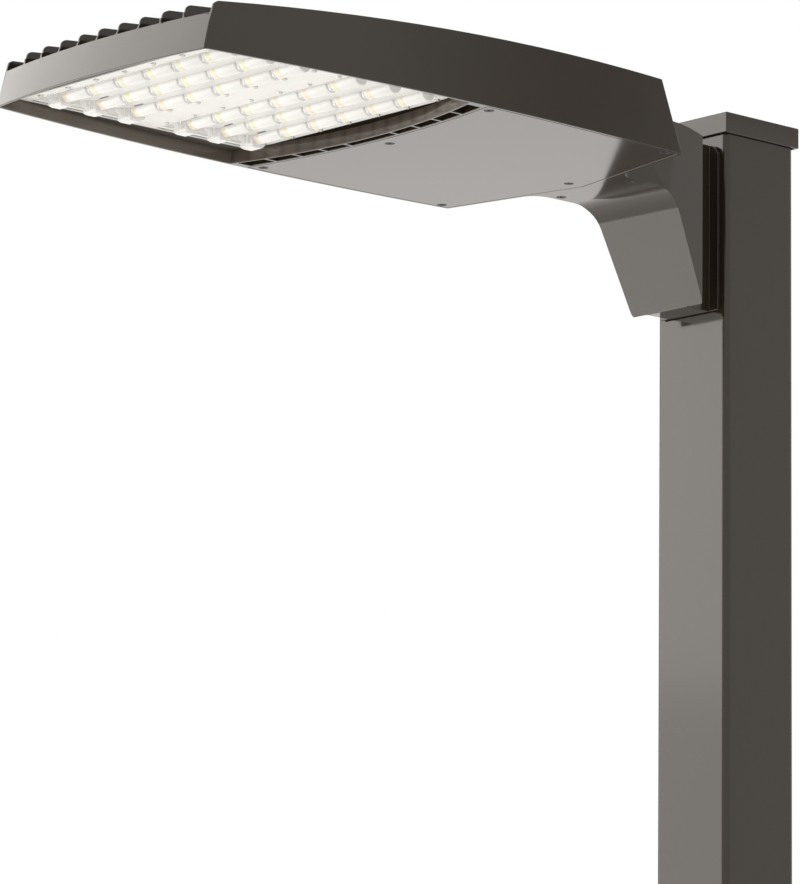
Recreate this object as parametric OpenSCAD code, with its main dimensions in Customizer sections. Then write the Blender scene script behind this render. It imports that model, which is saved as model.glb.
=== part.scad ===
// Pole-mounted LED flood light with the top section of its square pole.
// The origin is the middle of the pole section's lower end, with +Z up; the light reaches out along -Y.
// Sizes of the light are measured from the pole's front face and from the flat underside of the head.

/* [Pole] */
// Outside width of the square pole
pole_w = 101.6; // [90:0.1:120]
// Wall of the pole
pole_wall = 3.2; // [2.5:0.1:5]
// Outside corner radius of the pole
pole_corner_r = 7; // [4:0.5:10]
// Length of the pole section
pole_len = 860; // [600:10:1400]

/* [Pole cap] */
// Outside height of the cap
cap_h = 22; // [16:1:30]
// How far the cap's skirt stands out past the pole
cap_over = 3.7; // [2.5:0.1:6]
// Gap between the pole and the skirt of the cap
cap_gap = 0.7; // [0.3:0.1:1]
// Thickness of the cap's top plate
cap_top_t = 3.4; // [2:0.1:5]

/* [Head outline] */
// Reach of the head from the pole's front face to its front tip
head_len = 806; // [780:1:860]
// Half width of the head at its widest place
head_half_w = 182; // [176:1:200]
// Distance of the widest place from the pole's front face
bulge_y = 420; // [380:1:460]
// Radius of the bowed sides, seen from above
bulge_r = 2960; // [2400:10:4000]
// Radius of the bowed front lip, seen from above
front_r = 1000; // [700:10:1400]
// Height of the crown above the underside
top_h = 73.6; // [70:0.1:84]
// Distance of the crown's highest place from the pole's front face
top_y = 280; // [240:1:330]
// Radius of the crown
top_r = 4920; // [4400:10:7000]
// Inward draft of the side walls, degrees
side_draft = 4; // [1:0.5:6]
// Backward draft of the front lip, degrees
front_draft = 14.5; // [10:0.5:18]
// Height of the front lip
lip_h = 37; // [30:1:42]
// Casting wall
wall_t = 3.5; // [2.5:0.1:4.5]
// Distance of the rear seam's middle from the pole's front face
rear_y = 155; // [148:1:170]
// Sweep of the rear walls, degrees
rear_sweep = 10.8; // [6:0.2:14]
// Forward lean of the rear walls, degrees
rear_lean = 18.8; // [10:0.2:24]

/* [Arm] */
// Half width of the arm where it leaves the head
arm_half_w = 61; // [57:0.5:66]
// Half width of the arm at its pole end
arm_end_half_w = 52; // [49:0.5:55]
// Depth of the arm below the underside
arm_drop = 112; // [95:1:130]
// Slope of the arm's front face from the upright, degrees
arm_slope = 24.5; // [18:0.5:28]
// Radius of the bend under the arm
bend_r = 40; // [20:1:50]
// Distance of the arm's pole end from the pole
arm_back = 35; // [30:1:42]
// Height of the arm's top where it starts to curve down
arm_top_h = 71.3; // [68:0.1:73]
// Radius of the arm's top curve
arm_top_r = 166; // [100:1:240]
// Distance from the pole at which the arm's top starts to curve down
arm_top_y = 80; // [70:1:90]
// Casting wall of the arm
arm_wall = 4.5; // [3.5:0.1:6]
// Half width of the neck between the arm and its end plate
neck_half_w = 30; // [28:0.5:36]
// Half width of the end plate that meets the pole
plate_half_w = 42; // [38:0.5:46]
// Height of the neck's top above the underside
neck_top = 64.5; // [56:0.5:65]

/* [Heat sink] */
// Number of fins between the side walls
fin_n = 9; // [5:1:13]
// Spacing of the fins
fin_pitch = 30; // [20:0.5:32]
// Thickness of a fin
fin_t = 2.6; // [2:0.1:4]
// Rounding of the fins' front top corner
fin_round = 8; // [4:0.5:8]
// Height of the deck's underside above the underside of the head
deck_z = 19.5; // [18.5:0.1:22]
// Thickness of the deck
deck_t = 4; // [3:0.1:6]

/* [Light engine] */
// Spacing of the lamps both ways
led_pitch = 43; // [38:0.5:45]
// Lamps across the head in one row
led_cols = 6; // [4:1:6]
// Rows in one module
led_rows = 3; // [2:1:3]
// Distance between the two modules' nearest rows
module_gap = 71; // [66:1:76]
// Distance of the middle of both modules from the pole's front face
engine_y = 620; // [612:1:628]
// Distance from the head's widest side to the side of a lens plate
lens_margin = 30; // [28:1:36]
// Length of a lens plate
lens_len = 131; // [126:1:133]
// Thickness of the lens plates
lens_t = 2.5; // [2:0.1:3]
// Height of a lens plate's lower face
lens_z = 13.5; // [12.5:0.1:14]
// Depth of an optic below the lens plate
optic_h = 11; // [8:0.5:12]
// Width of an optic
optic_w = 20; // [14:0.5:24]
// Thickness of the circuit boards
board_t = 1.6; // [1:0.1:2]
// Width of the lens gaskets
lens_gasket_w = 5; // [3:0.5:6]
// Width of the bezel around the lens plates
bezel_w = 9; // [7:0.5:10]
// Thickness of the bezel
bezel_t = 1.2; // [0.8:0.1:1.6]
// Distance from the pole to the bezel's rear edge, at the middle
bezel_y = 468; // [466:0.5:472]
// Radius of the bezel's rear edge
bezel_r = 1420; // [1200:10:1700]

/* [Vents] */
// Distance from the pole to the vents' front rim, at the middle
rim_y = 455.5; // [452:0.5:460]
// Radius of the vents' front rim
rim_r = 630; // [560:10:760]
// Thickness of that rim
rim_t = 2.5; // [2:0.1:4]
// Distance from the pole to the door's front seam, at the middle
seam_y = 440; // [434:0.5:442]
// Radius of the door's front seam
seam_r = 909; // [860:1:1100]
// Length of the middle vent
vent_mid = 65; // [50:1:80]
// Length of each side vent
vent_len = 31; // [24:1:32]
// Thickness of the ribs between the vents
vent_rib = 3.6; // [2.5:0.1:5]
// Height of those ribs
vent_rib_h = 9; // [5:0.5:14]

/* [Door] */
// Thickness of the door plate
door_t = 3; // [2.5:0.1:4]
// Gap around the door, which lies inside the casting's walls
door_gap = 0.6; // [0.4:0.1:1]
// Thickness of the door gasket
gasket_t = 2; // [1.5:0.1:3]
// Width of the door gasket
gasket_w = 3; // [2.5:0.1:3.2]
// Width of the seat that the door gasket presses on
seat_w = 10; // [8:0.5:12]
// Diameter of the door screws
door_screw_d = 5; // [4:0.5:6]

/* [Pole fixing] */
// Diameter of the two mounting bolts
bolt_d = 12.7; // [10:0.1:14]
// Clearance of the bolt holes over the bolts
bolt_clear = 1.6; // [1:0.1:2]
// Spacing of the mounting bolts
bolt_pitch = 67.3; // [62:0.1:76]
// Height of the wire hole above the underside of the head
wire_hole_z = -3.6; // [-12:0.1:4]
// Diameter of the wire hole in the pole
wire_hole_d = 28; // [20:1:30]
// Thickness of the gasket between the neck and the pole
pad_t = 3; // [2:0.5:4]
// Thickness of the neck's end plate
end_plate_t = 9; // [7:0.5:12]
// Thickness of the nut plate inside the pole
nut_plate_t = 6; // [4:0.5:8]

/* [Gear] */
// Length of the driver, across the head
driver_l = 220; // [180:1:240]
// Width of the driver
driver_w = 66; // [50:1:72]
// Height of the driver
driver_h = 37; // [28:1:40]
// Distance of the driver's middle from the pole's front face
driver_y = 345; // [338:1:352]
// Height of the driver's top face
driver_top = 63; // [60:1:64]
// Diameter of the inside leads
lead_d = 5; // [3:0.5:6]

/* [Hidden] */
$fn = 48;
large = 720; // sides of the large round forms
bronze = [0.20, 0.185, 0.17];
steel = [0.75, 0.75, 0.76];
rubber = [0.09, 0.09, 0.09];

over = 1; // how far a cut runs past what it cuts
arm_below_cap = 75.4; // from the underside of the head to the cap's lower edge
head_z = pole_len + cap_top_t - cap_h - arm_below_cap;
form_top = top_h + 6;
wide = head_len + 90; // larger than the head in every direction
lens_half_w = head_half_w - lens_margin;
row_span = (led_rows - 1) * led_pitch;
module_y = (module_gap + row_span) / 2;
deck_top = deck_z + deck_t;
board_z = deck_z - board_t;
led_t = 1.2;
pocket_d = 9; // pocket over each lamp in the lens plate
pocket_h = 1.6;
seat_z = door_t + gasket_t;
seat_t = 4;
boss_r = 5.5;
boss_h = 14;
pilot_d = door_screw_d - 0.6;
shank_d = door_screw_d - 0.8;
head_d = door_screw_d * 1.9;
head_t = door_t * 0.6;
post_r = 5; // posts that carry the gear
post_d = 3.4;
vent_end = vent_mid / 2 + 4 * (vent_len + vent_rib);
cap_w = pole_w + 2 * cap_over;
cap_z = pole_len + cap_top_t - cap_h;
plate_y = -pad_t - end_plate_t; // where the bolts' washers bear
washer_t = 2.5;
bolt_head_t = 7.9;
nut_t = 11;
neck_wall = 6;
neck_floor = 24;
lens_screw_d = 2.6;
jumper_w = 6;
jumper_t = 0.8;
jumper_x = led_pitch / 2;
nut_plate_w = 60;
nut_plate_end = 18; // from a bolt to the nut plate's nearer end
clamp_h = 12; // height of the wire clamp's posts

// Half width of the head at distance y from the pole, at the underside
function side_x(y) = head_half_w - bulge_r + sqrt(bulge_r * bulge_r - (bulge_y - y) * (bulge_y - y));
// Height of the crown at distance y from the pole
function crown_z(y) = top_h - top_r + sqrt(top_r * top_r - (y - top_y) * (y - top_y));
// Place of the rear seam at sideways distance x
function rear_edge(x) = -rear_y - abs(x) * tan(rear_sweep);
// Place of an arc that bows towards the pole
function bowed(y, r, x) = -y - r + sqrt(r * r - x * x);
// Points along an arc
function arc(c, r, a0, a1, n) = [for (i = [0:n]) let (a = a0 + (a1 - a0) * i / n) c + r * [cos(a), sin(a)]];

// Puts what is drawn in the head's own frame onto the pole
module on_pole() translate([0, -pole_w / 2, head_z]) children();
// The same shape on both sides
module both_sides() { children(); mirror([1, 0, 0]) children(); }
// A prism of an outline drawn in Y and Z, across X
module across(half_w) rotate([90, 0, 90]) translate([0, 0, -half_w]) linear_extrude(2 * half_w) children();

// Space between the two bowed and drafted sides
module barrel(inset, z0, z1) intersection() {
    translate([head_half_w - bulge_r, -bulge_y, z0]) bowed_side(inset, z0, z1);
    translate([bulge_r - head_half_w, -bulge_y, z0]) bowed_side(inset, z0, z1);
}
module bowed_side(inset, z0, z1) cylinder(h = z1 - z0, r1 = bulge_r - inset - z0 * tan(side_draft),
    r2 = bulge_r - inset - z1 * tan(side_draft), $fn = large);
// Space behind the bowed front
module nose(inset, z0, z1) translate([0, front_r - head_len, z0]) cylinder(h = z1 - z0,
    r1 = front_r - inset - z0 * tan(front_draft),
    r2 = front_r - inset - z1 * tan(front_draft), $fn = large);
// Space under the crown
module crown(inset) translate([0, -top_y, top_h - top_r]) rotate([0, 90, 0])
    cylinder(h = 2 * head_half_w + 40, r = top_r - inset, center = true, $fn = large);
// Space in front of the swept and leaning rear walls
module before_rear(inset) intersection() { rear_side(inset, 1); rear_side(inset, -1); }
module rear_side(inset, side) translate([0, -rear_y, 0]) rotate([0, 0, -side * rear_sweep])
    rotate([rear_lean, 0, 0]) translate([-wide, -2 * wide - inset, -wide]) cube(2 * wide);
// Space in front of an arc that bows towards the pole
module before_arc(y, r, z0, z1) translate([0, -y - r, z0]) cylinder(h = z1 - z0, r = r, $fn = large);

// Outside of the head as one solid
module head_form() intersection() {
    barrel(0, 0, form_top);
    nose(0, 0, form_top);
    crown(0);
    before_rear(0);
}

// Arm outline in Y and Z, drawn in by inset
module arm_outline(inset) {
    foot = [-arm_back, -arm_drop];
    bend = [foot[0] + ((bend_r - arm_drop) * sin(arm_slope) - bend_r) / cos(arm_slope), -bend_r];
    top_c = [-arm_top_y, arm_top_h - arm_top_r];
    top_r_in = arm_top_r - inset;
    end_y = -arm_back - inset;
    end_a = acos((end_y - top_c[0]) / top_r_in);
    low = -arm_drop + inset * (1 + 1 / cos(arm_slope)) / tan(arm_slope);
    polygon(concat(
        [[-rear_y - 55, inset], [bend[0], inset]],
        arc(bend, bend_r + inset, 90, arm_slope, 8),
        [[end_y, low]],
        arc(top_c, top_r_in, end_a, 90, 6),
        [[-rear_y - 55, crown_z(rear_y + 55) - inset]]));
}
// Arm seen from above, drawn in by inset
module arm_plan(inset) {
    w0 = arm_half_w - inset;
    w1 = arm_end_half_w - inset;
    polygon([[w0, -rear_y - 60], [w0, -arm_top_y - 15], [w1, -arm_back + 2],
        [-w1, -arm_back + 2], [-w0, -arm_top_y - 15], [-w0, -rear_y - 60]]);
}
module arm_form(inset) intersection() {
    across(arm_half_w + 5) arm_outline(inset);
    translate([0, 0, -arm_drop - 5]) linear_extrude(arm_drop + top_h + 10) arm_plan(inset);
}
// Rounded inner corners where the arm leaves the leaning rear walls
module arm_fillets() {
    r = 20;
    bite = 0.05; // how far its round ends run into the faces that they meet
    lean = atan(tan(rear_lean) / cos(rear_sweep));
    sweep = atan(sin(rear_sweep) / (cos(rear_sweep) * cos(lean) + tan(rear_lean) * sin(lean)));
    c = [arm_half_w + r - bite, r * (1 / cos(sweep) - tan(sweep)) - bite];
    both_sides() intersection() {
        translate([0, rear_edge(arm_half_w), 0]) rotate([lean, 0, 0]) translate([0, 0, -20])
            linear_extrude(20 + form_top / cos(lean)) difference() {
                translate([arm_half_w - 2, -14]) square([r * (1 - sin(sweep)) + 2, 14 + c[1]]);
                translate(c) circle(r);
            }
        crown(0.2);
        translate([0, -wide, 0]) cube([arm_half_w + 2 * r, wide, form_top]);
    }
}
// Neck between the arm and the pole, with a wider end plate whose top corners are rounded
plate_round = 12;
module neck_form() {
    translate([-neck_half_w, -arm_back - over, -arm_drop])
        cube([2 * neck_half_w, arm_back + over + plate_y + over, arm_drop + neck_top]);
    w = plate_half_w - plate_round;
    translate([0, -pad_t, 0]) rotate([90, 0, 0]) linear_extrude(end_plate_t) polygon(concat(
        [[-plate_half_w, -arm_drop], [plate_half_w, -arm_drop]],
        arc([w, neck_top - plate_round], plate_round, 0, 90, 8),
        arc([-w, neck_top - plate_round], plate_round, 90, 180, 8)));
}
// Space inside the neck, joined to the space inside the arm
module neck_space()
    translate([-neck_half_w + neck_wall, -arm_back - arm_wall - over, -arm_drop + neck_floor])
        cube([2 * (neck_half_w - neck_wall), arm_back + arm_wall + over + plate_y,
        arm_drop - neck_floor + neck_top - neck_wall]);

// Places of the door screws: front corners, front middle, rear corners and rear middle
function door_screws_at() = let (fx = side_x(seam_y + 6) - 14, rx = side_x(rear_y + 50) - 10.2)
    [[fx, bowed(seam_y, seam_r, fx) + 10], [-fx, bowed(seam_y, seam_r, fx) + 10], [0, -seam_y + 16],
     [rx, rear_edge(rx) - 18], [-rx, rear_edge(rx) - 18], [0, -rear_y - 23]];
// Places of the two screws under the arm
function arm_screws_at() = [for (s = [-1, 1]) [s * (arm_half_w - 11), -rear_y + 14]];
// Places of the two posts of a small piece of gear
function two_posts(c, w) = [for (s = [-1, 1]) c + [s * w / 2, 0]];
driver_posts = [for (sx = [-1, 1], sy = [-1, 1])
    [sx * (driver_l - 14) / 2, -driver_y + sy * (driver_w - 24) / 2]];
surge_c = [100, -rear_y - 78];
surge_size = [64, 36, 26];
surge_posts = two_posts(surge_c, surge_size[0] - 10);
terminal_c = [-100, -rear_y - 78];
terminal_size = [66, 24, 20];
terminal_posts = two_posts(terminal_c, terminal_size[0] - 10);
ear_w = 14; // mounting ears of the small gear
ear_t = 3;
driver_ear_t = 2.5;
ground_c = [-150, -driver_y + 45];
ground_drop = 14; // how far the ground post reaches below the gear

// Posts from the roof that carry the gear, with their pilot holes
module roof_post(p, z) difference() {
    translate([p[0], p[1], z]) cylinder(h = crown_z(-p[1]) - z - 1, r = post_r);
    translate([p[0], p[1], z - over]) cylinder(h = 7 + over, d = post_d);
}

// Spaces inside the casting's walls: lamp bay, open top, vents and gear space
module hollows() intersection() {
    barrel(wall_t, -1, form_top + 4);
    union() {
        // over the front lip
        translate([-wide, -head_len - over, lip_h]) cube([2 * wide, 40, form_top]);
        // under and over the deck
        difference() {
            intersection() {
                nose(wall_t, -1, form_top + 4);
                before_arc(rim_y, rim_r, -1, form_top + 4);
            }
            translate([-wide, -wide, deck_z]) cube([2 * wide, wide, deck_t]);
        }
        // over the vents, and the vents themselves
        intersection() {
            before_arc(seam_y + wall_t, seam_r, -1, form_top + 4);
            union() {
                translate([-wide, -rim_y - 60, deck_top]) cube([2 * wide, 80, form_top]);
                difference() {
                    translate([-vent_end, -seam_y - 80, -1]) cube([2 * vent_end, 90, form_top + 5]);
                    before_arc(rim_y - rim_t, rim_r + rim_t, -2, form_top + 6);
                }
            }
        }
        // gear space
        difference() {
            intersection() {
                crown(wall_t);
                before_rear(wall_t);
                translate([-wide, -wide, -1]) cube([2 * wide, wide, form_top]);
            }
            before_arc(seam_y, seam_r, -2, form_top + 1);
        }
    }
}
// Rounding of the side walls' front top corners
module wall_rounding() both_sides() {
    x = head_half_w - 27;
    r = fin_round;
    front = -head_len + front_r - sqrt(pow(front_r - lip_h * tan(front_draft), 2) - x * x);
    c0 = crown_z(-front - r) - r;
    c = [front + (c0 - lip_h) * tan(front_draft) + r / cos(front_draft), c0];
    foot = c + r * [-cos(front_draft), sin(front_draft)];
    translate([head_half_w - 40, 0, 0]) rotate([90, 0, 90]) linear_extrude(60) difference() {
        polygon([foot, foot - [r, 0], [foot[0] - r, form_top], [c[0] - 0.6, form_top],
            [c[0] - 0.6, c[1]], c - [0.6, 1]]);
        translate(c) circle(r);
    }
}

// Ribs that part the vents
module vent_ribs() intersection() {
    difference() {
        before_arc(seam_y + 1, seam_r, 0, vent_rib_h);
        before_arc(rim_y - 1, rim_r, -1, vent_rib_h + 1);
    }
    for (i = [0:3], s = [-1, 1])
        translate([s * (vent_mid + vent_rib) / 2 + s * i * (vent_len + vent_rib) - vent_rib / 2,
            -seam_y - 80, 0]) cube([vent_rib, 90, vent_rib_h]);
}

// Cooling fins, flush with the crown and with the front lip, with rounded front corners
module fins() intersection() {
    crown(0);
    nose(0, 0, form_top);
    for (i = [0:fin_n - 1]) {
        x = (i - (fin_n - 1) / 2) * fin_pitch;
        front = -head_len + front_r - sqrt(front_r * front_r - x * x);
        top_front = front + (lip_h + fin_round) * tan(front_draft);
        fin_z = crown_z(-top_front);
        translate([x, 0, 0]) across(fin_t / 2) polygon(concat(
            [[front + wall_t / 2, deck_top - over], [front, lip_h - 2], [top_front, fin_z - fin_round]],
            arc([top_front + fin_round, fin_z - fin_round], fin_round, 180, 90, 6),
            [[top_front + fin_round, form_top], [bowed(rim_y, rim_r, x) - 6, form_top],
             [bowed(rim_y, rim_r, x) - 6, deck_top - over]]));
    }
}

// Cast way for the lamp leads, over the vents
wire_way = [34, 62, 22];
wire_way_z = deck_top + wire_way[2] / 2;
wire_way_d = 14;
wire_drop_y = -seam_y - 50;
module wire_way_block() translate([-wire_way[0] / 2, -seam_y - wire_way[1], deck_top - over])
    cube([wire_way[0], wire_way[1] - over, wire_way[2] + over]);
module wire_way_bore() {
    translate([0, -seam_y + 10, wire_way_z]) rotate([90, 0, 0]) cylinder(h = 66, d = wire_way_d);
    translate([0, wire_drop_y, deck_z - over]) cylinder(h = wire_way_z - deck_z + over, d = 10);
}

// Seat of the door gasket and the bosses of the door screws
module door_seat() {
    intersection() {
        difference() {
            barrel(wall_t - 0.5, seat_z, seat_z + seat_t);
            before_arc(seam_y + 0.5, seam_r, seat_z - 1, seat_z + seat_t + 1);
            difference() {
                intersection() {
                    barrel(wall_t + seat_w, seat_z - 1, seat_z + seat_t + 1);
                    before_rear(wall_t + seat_w);
                }
                before_arc(seam_y - seat_w, seam_r, seat_z - 2, seat_z + seat_t + 2);
            }
        }
        before_rear(wall_t - 0.5);
    }
    for (p = door_screws_at()) translate([p[0], p[1], seat_z]) cylinder(h = boss_h, r = boss_r);
    // tongues from the seat to the two middle bosses
    translate([-boss_r, -seam_y - over, seat_z]) cube([2 * boss_r, 17, seat_t]);
    translate([-boss_r, -rear_y - 23, seat_z]) cube([2 * boss_r, 15, seat_t]);
}

module housing_form() {
    difference() {
        union() {
            head_form();
            arm_form(0);
            arm_fillets();
            neck_form();
        }
        hollows();
        wall_rounding();
        // arm space, open to the gear space and to the neck
        difference() {
            arm_form(arm_wall);
            translate([-arm_half_w, -rear_y - 60, -over])
                cube([2 * arm_half_w, 70, seat_z + seat_t + over]);
        }
        neck_space();
    }
    door_seat();
    vent_ribs();
    fins();
    wire_way_block();
    for (p = concat(driver_posts, surge_posts, terminal_posts)) roof_post(p, driver_top);
    roof_post(ground_c, driver_top - ground_drop);
    for (p = arm_screws_at()) translate([p[0], p[1], arm_wall - over])
        cylinder(h = clamp_h + over, r = boss_r);
}

module housing() color(bronze) on_pole() difference() {
    housing_form();
    wire_way_bore();
    for (p = door_screws_at()) translate([p[0], p[1], seat_z - over]) cylinder(h = 12, d = pilot_d);
    for (p = arm_screws_at()) {
        translate([p[0], p[1], -over]) cylinder(h = arm_wall + clamp_h + 2 * over, d = door_screw_d + 0.6);
        translate([p[0], p[1], -over]) cylinder(h = head_t + over, d = head_d + 0.4);
    }
    for (z = bolts_at()) translate([0, 0, z]) rotate([90, 0, 0])
        cylinder(h = -plate_y + over, d = bolt_d + bolt_clear);
    translate([0, 0, wire_hole_z]) rotate([90, 0, 0]) cylinder(h = -plate_y + over, d = wire_hole_d);
    for (p = lens_screws_at()) translate([p[0], p[1], deck_z - over])
        cylinder(h = deck_t + over - 0.5, d = lens_screw_d);
    // groove for the jumper between the two boards
    translate([jumper_x - jumper_w / 2 - 0.5, -engine_y - jumper_half, deck_z - over])
        cube([jumper_w + 1, 2 * jumper_half, jumper_t + 0.2 + over]);
}

// Heights of the two mounting bolts
function bolts_at() = [wire_hole_z + bolt_pitch / 2, wire_hole_z - bolt_pitch / 2];

// Outline of the square pole, grown by g
module square_outline(g) {
    h = pole_w / 2 + g;
    r = pole_corner_r + g;
    c = h - r;
    polygon([for (q = [0:3], p = arc([c, c], r, 0, 90, 6))
        [p[0] * cos(90 * q) - p[1] * sin(90 * q), p[0] * sin(90 * q) + p[1] * cos(90 * q)]]);
}
module pole() color([0.33, 0.31, 0.29]) difference() {
    linear_extrude(pole_len) difference() {
        square_outline(0);
        square_outline(-pole_wall);
    }
    for (z = bolts_at()) translate([0, 0, head_z + z]) rotate([90, 0, 0])
        cylinder(h = pole_w, d = bolt_d + bolt_clear);
    translate([0, 0, head_z + wire_hole_z]) rotate([90, 0, 0]) cylinder(h = pole_w, d = wire_hole_d);
}
// Push-on cap
module pole_cap() color(bronze) difference() {
    translate([-cap_w / 2, -cap_w / 2, cap_z]) cube([cap_w, cap_w, cap_h]);
    translate([0, 0, cap_z - over]) linear_extrude(cap_h - cap_top_t + over)
        square(pole_w + 2 * cap_gap, center = true);
}

// Rubber pad between the neck and the pole
module mount_gasket() color(rubber) on_pole() difference() {
    translate([-plate_half_w + 1, -pad_t, -arm_drop + 1])
        cube([2 * plate_half_w - 2, pad_t, arm_drop + neck_top - 9]);
    for (z = bolts_at()) translate([0, 1, z]) rotate([90, 0, 0])
        cylinder(h = pad_t + 2, d = bolt_d + bolt_clear);
    translate([0, 1, wire_hole_z]) rotate([90, 0, 0]) cylinder(h = pad_t + 2, d = wire_hole_d);
}
// Hex bolts through the neck's end plate, the pad, the pole wall and the nut plate
module mount_bolts() color(steel) on_pole() for (z = bolts_at()) translate([0, plate_y - washer_t, z])
    rotate([-90, 0, 0]) {
        translate([0, 0, -bolt_head_t]) cylinder(h = bolt_head_t, d = bolt_d * 1.5 / cos(30), $fn = 6);
        cylinder(h = washer_t - plate_y + pole_wall + nut_plate_t + nut_t + 5, d = bolt_d);
    }
module mount_washers() color(steel) on_pole() for (z = bolts_at()) translate([0, plate_y, z])
    rotate([90, 0, 0]) difference() {
        cylinder(h = washer_t, d = bolt_d * 2);
        translate([0, 0, -1]) cylinder(h = washer_t + 2, d = bolt_d + 0.6);
    }
module nut_plate() color(steel) on_pole() difference() {
    translate([-nut_plate_w / 2, pole_wall, wire_hole_z - bolt_pitch / 2 - nut_plate_end])
        cube([nut_plate_w, nut_plate_t, bolt_pitch + 2 * nut_plate_end]);
    for (z = bolts_at()) translate([0, 0, z]) rotate([-90, 0, 0])
        cylinder(h = pole_wall + nut_plate_t + over, d = bolt_d + 0.6);
    translate([0, 0, wire_hole_z]) rotate([-90, 0, 0])
        cylinder(h = pole_wall + nut_plate_t + over, d = wire_hole_d + 6);
}
module mount_nuts() color(steel) on_pole() for (z = bolts_at())
    translate([0, pole_wall + nut_plate_t, z]) rotate([-90, 0, 0]) difference() {
        cylinder(h = nut_t, d = bolt_d * 1.5 / cos(30), $fn = 6);
        translate([0, 0, -over]) cylinder(h = nut_t + 2 * over, d = bolt_d + 0.02);
    }
// Rubber bushing that lines the wire hole
module wire_bushing() color(rubber) on_pole() translate([0, 0, wire_hole_z]) rotate([-90, 0, 0])
    difference() {
        union() {
            translate([0, 0, plate_y]) cylinder(h = pole_wall - plate_y + 1.5, d = wire_hole_d - 0.4);
            translate([0, 0, pole_wall]) cylinder(h = 1.5, d = wire_hole_d + 4);
            translate([0, 0, plate_y - 1.5]) cylinder(h = 1.5, d = wire_hole_d + 4);
        }
        translate([0, 0, plate_y - 3]) cylinder(h = 40, d = wire_hole_d - 8);
    }

// Puts a module's pieces at the front or the rear half of the light engine
module at_module(side) on_pole() translate([0, -engine_y - side * module_y, 0]) children();
function leds_xy() = [for (c = [0:led_cols - 1], r = [0:led_rows - 1])
    [(c - (led_cols - 1) / 2) * led_pitch, (r - (led_rows - 1) / 2) * led_pitch]];
board_half_w = lens_half_w - lens_gasket_w - 1;
board_len = lens_len - 2 * lens_gasket_w - 2;
module board() color("whitesmoke") translate([-board_half_w, -board_len / 2, board_z])
    cube([2 * board_half_w, board_len, board_t]);
module board_front() at_module(1) board();
module board_rear() at_module(-1) board();
module leds() color("gold") for (p = leds_xy()) translate([p[0] - 1.8, p[1] - 1.8, board_z - led_t])
    cube([3.6, 3.6, led_t]);
module leds_front() at_module(1) leds();
module leds_rear() at_module(-1) leds();

// One optic: a half-round bar and the prism block beside the lamp
optic_bar = led_pitch * 0.62;
module optic() {
    translate([led_pitch / 2 - optic_bar, 0, lens_z]) rotate([0, 90, 0]) intersection() {
        cylinder(h = optic_bar, d = optic_w * 0.8);
        translate([0, -optic_w / 2, -1]) cube([optic_h, optic_w, optic_bar + 2]);
    }
    across_block = led_pitch - optic_bar;
    translate([-led_pitch / 2 + 1, 0, lens_z]) rotate([90, 0, 90]) linear_extrude(across_block - 1)
        polygon([[-optic_w / 2, 0.01], [-optic_w * 0.42, -optic_h * 0.75], [-optic_w * 0.2, -optic_h],
            [0, -optic_h * 0.85], [optic_w * 0.2, -optic_h], [optic_w * 0.42, -optic_h * 0.75],
            [optic_w / 2, 0.01]]);
}
// Clear lens plate with its optics and a pocket over each lamp
module lens_plate() color([0.92, 0.94, 0.95, 0.6]) difference() {
    union() {
        translate([-lens_half_w, -lens_len / 2, lens_z]) cube([2 * lens_half_w, lens_len, lens_t]);
        for (p = leds_xy()) translate([p[0], p[1], 0]) optic();
    }
    for (p = leds_xy()) translate([p[0], p[1], lens_z + lens_t - pocket_h])
        cylinder(h = pocket_h + over, d = pocket_d);
    module_holes(lens_z, lens_t);
}
// Places of one module's screws, between the lamps' columns along both long edges of its lens plate
function module_screws_at() = [for (e = [-1, 1], i = [-led_cols / 2:led_cols / 2])
    [i * led_pitch, e * (lens_len - lens_gasket_w) / 2]];
module module_holes(z, t) for (p = module_screws_at()) translate([p[0], p[1], z - over])
    cylinder(h = t + 2 * over, d = lens_screw_d + 1);
module lens_front() at_module(1) lens_plate();
module lens_rear() at_module(-1) lens_plate();
// Silicone ring between a lens plate and the deck
module lens_gasket() color([0.75, 0.75, 0.74]) difference() {
    translate([-lens_half_w, -lens_len / 2, lens_z + lens_t])
        cube([2 * lens_half_w, lens_len, deck_z - lens_z - lens_t]);
    translate([-lens_half_w + lens_gasket_w, -lens_len / 2 + lens_gasket_w, lens_z])
        cube([2 * (lens_half_w - lens_gasket_w), lens_len - 2 * lens_gasket_w, deck_z]);
    module_holes(lens_z + lens_t, deck_z - lens_z - lens_t);
}
module lens_gasket_front() at_module(1) lens_gasket();
module lens_gasket_rear() at_module(-1) lens_gasket();
// Places of both modules' screws
function lens_screws_at() = [for (s = [-1, 1], p = module_screws_at()) p + [0, -engine_y - s * module_y]];
bezel_z = lens_z - bezel_t;
bezel_gap = 0.8; // between the bezel and the casting's walls
bezel_front = module_y + lens_len / 2 + 3;
slot_w = 5;
slot_x = lens_half_w - 0.5; // middle of the slots beside the lens plates
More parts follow.
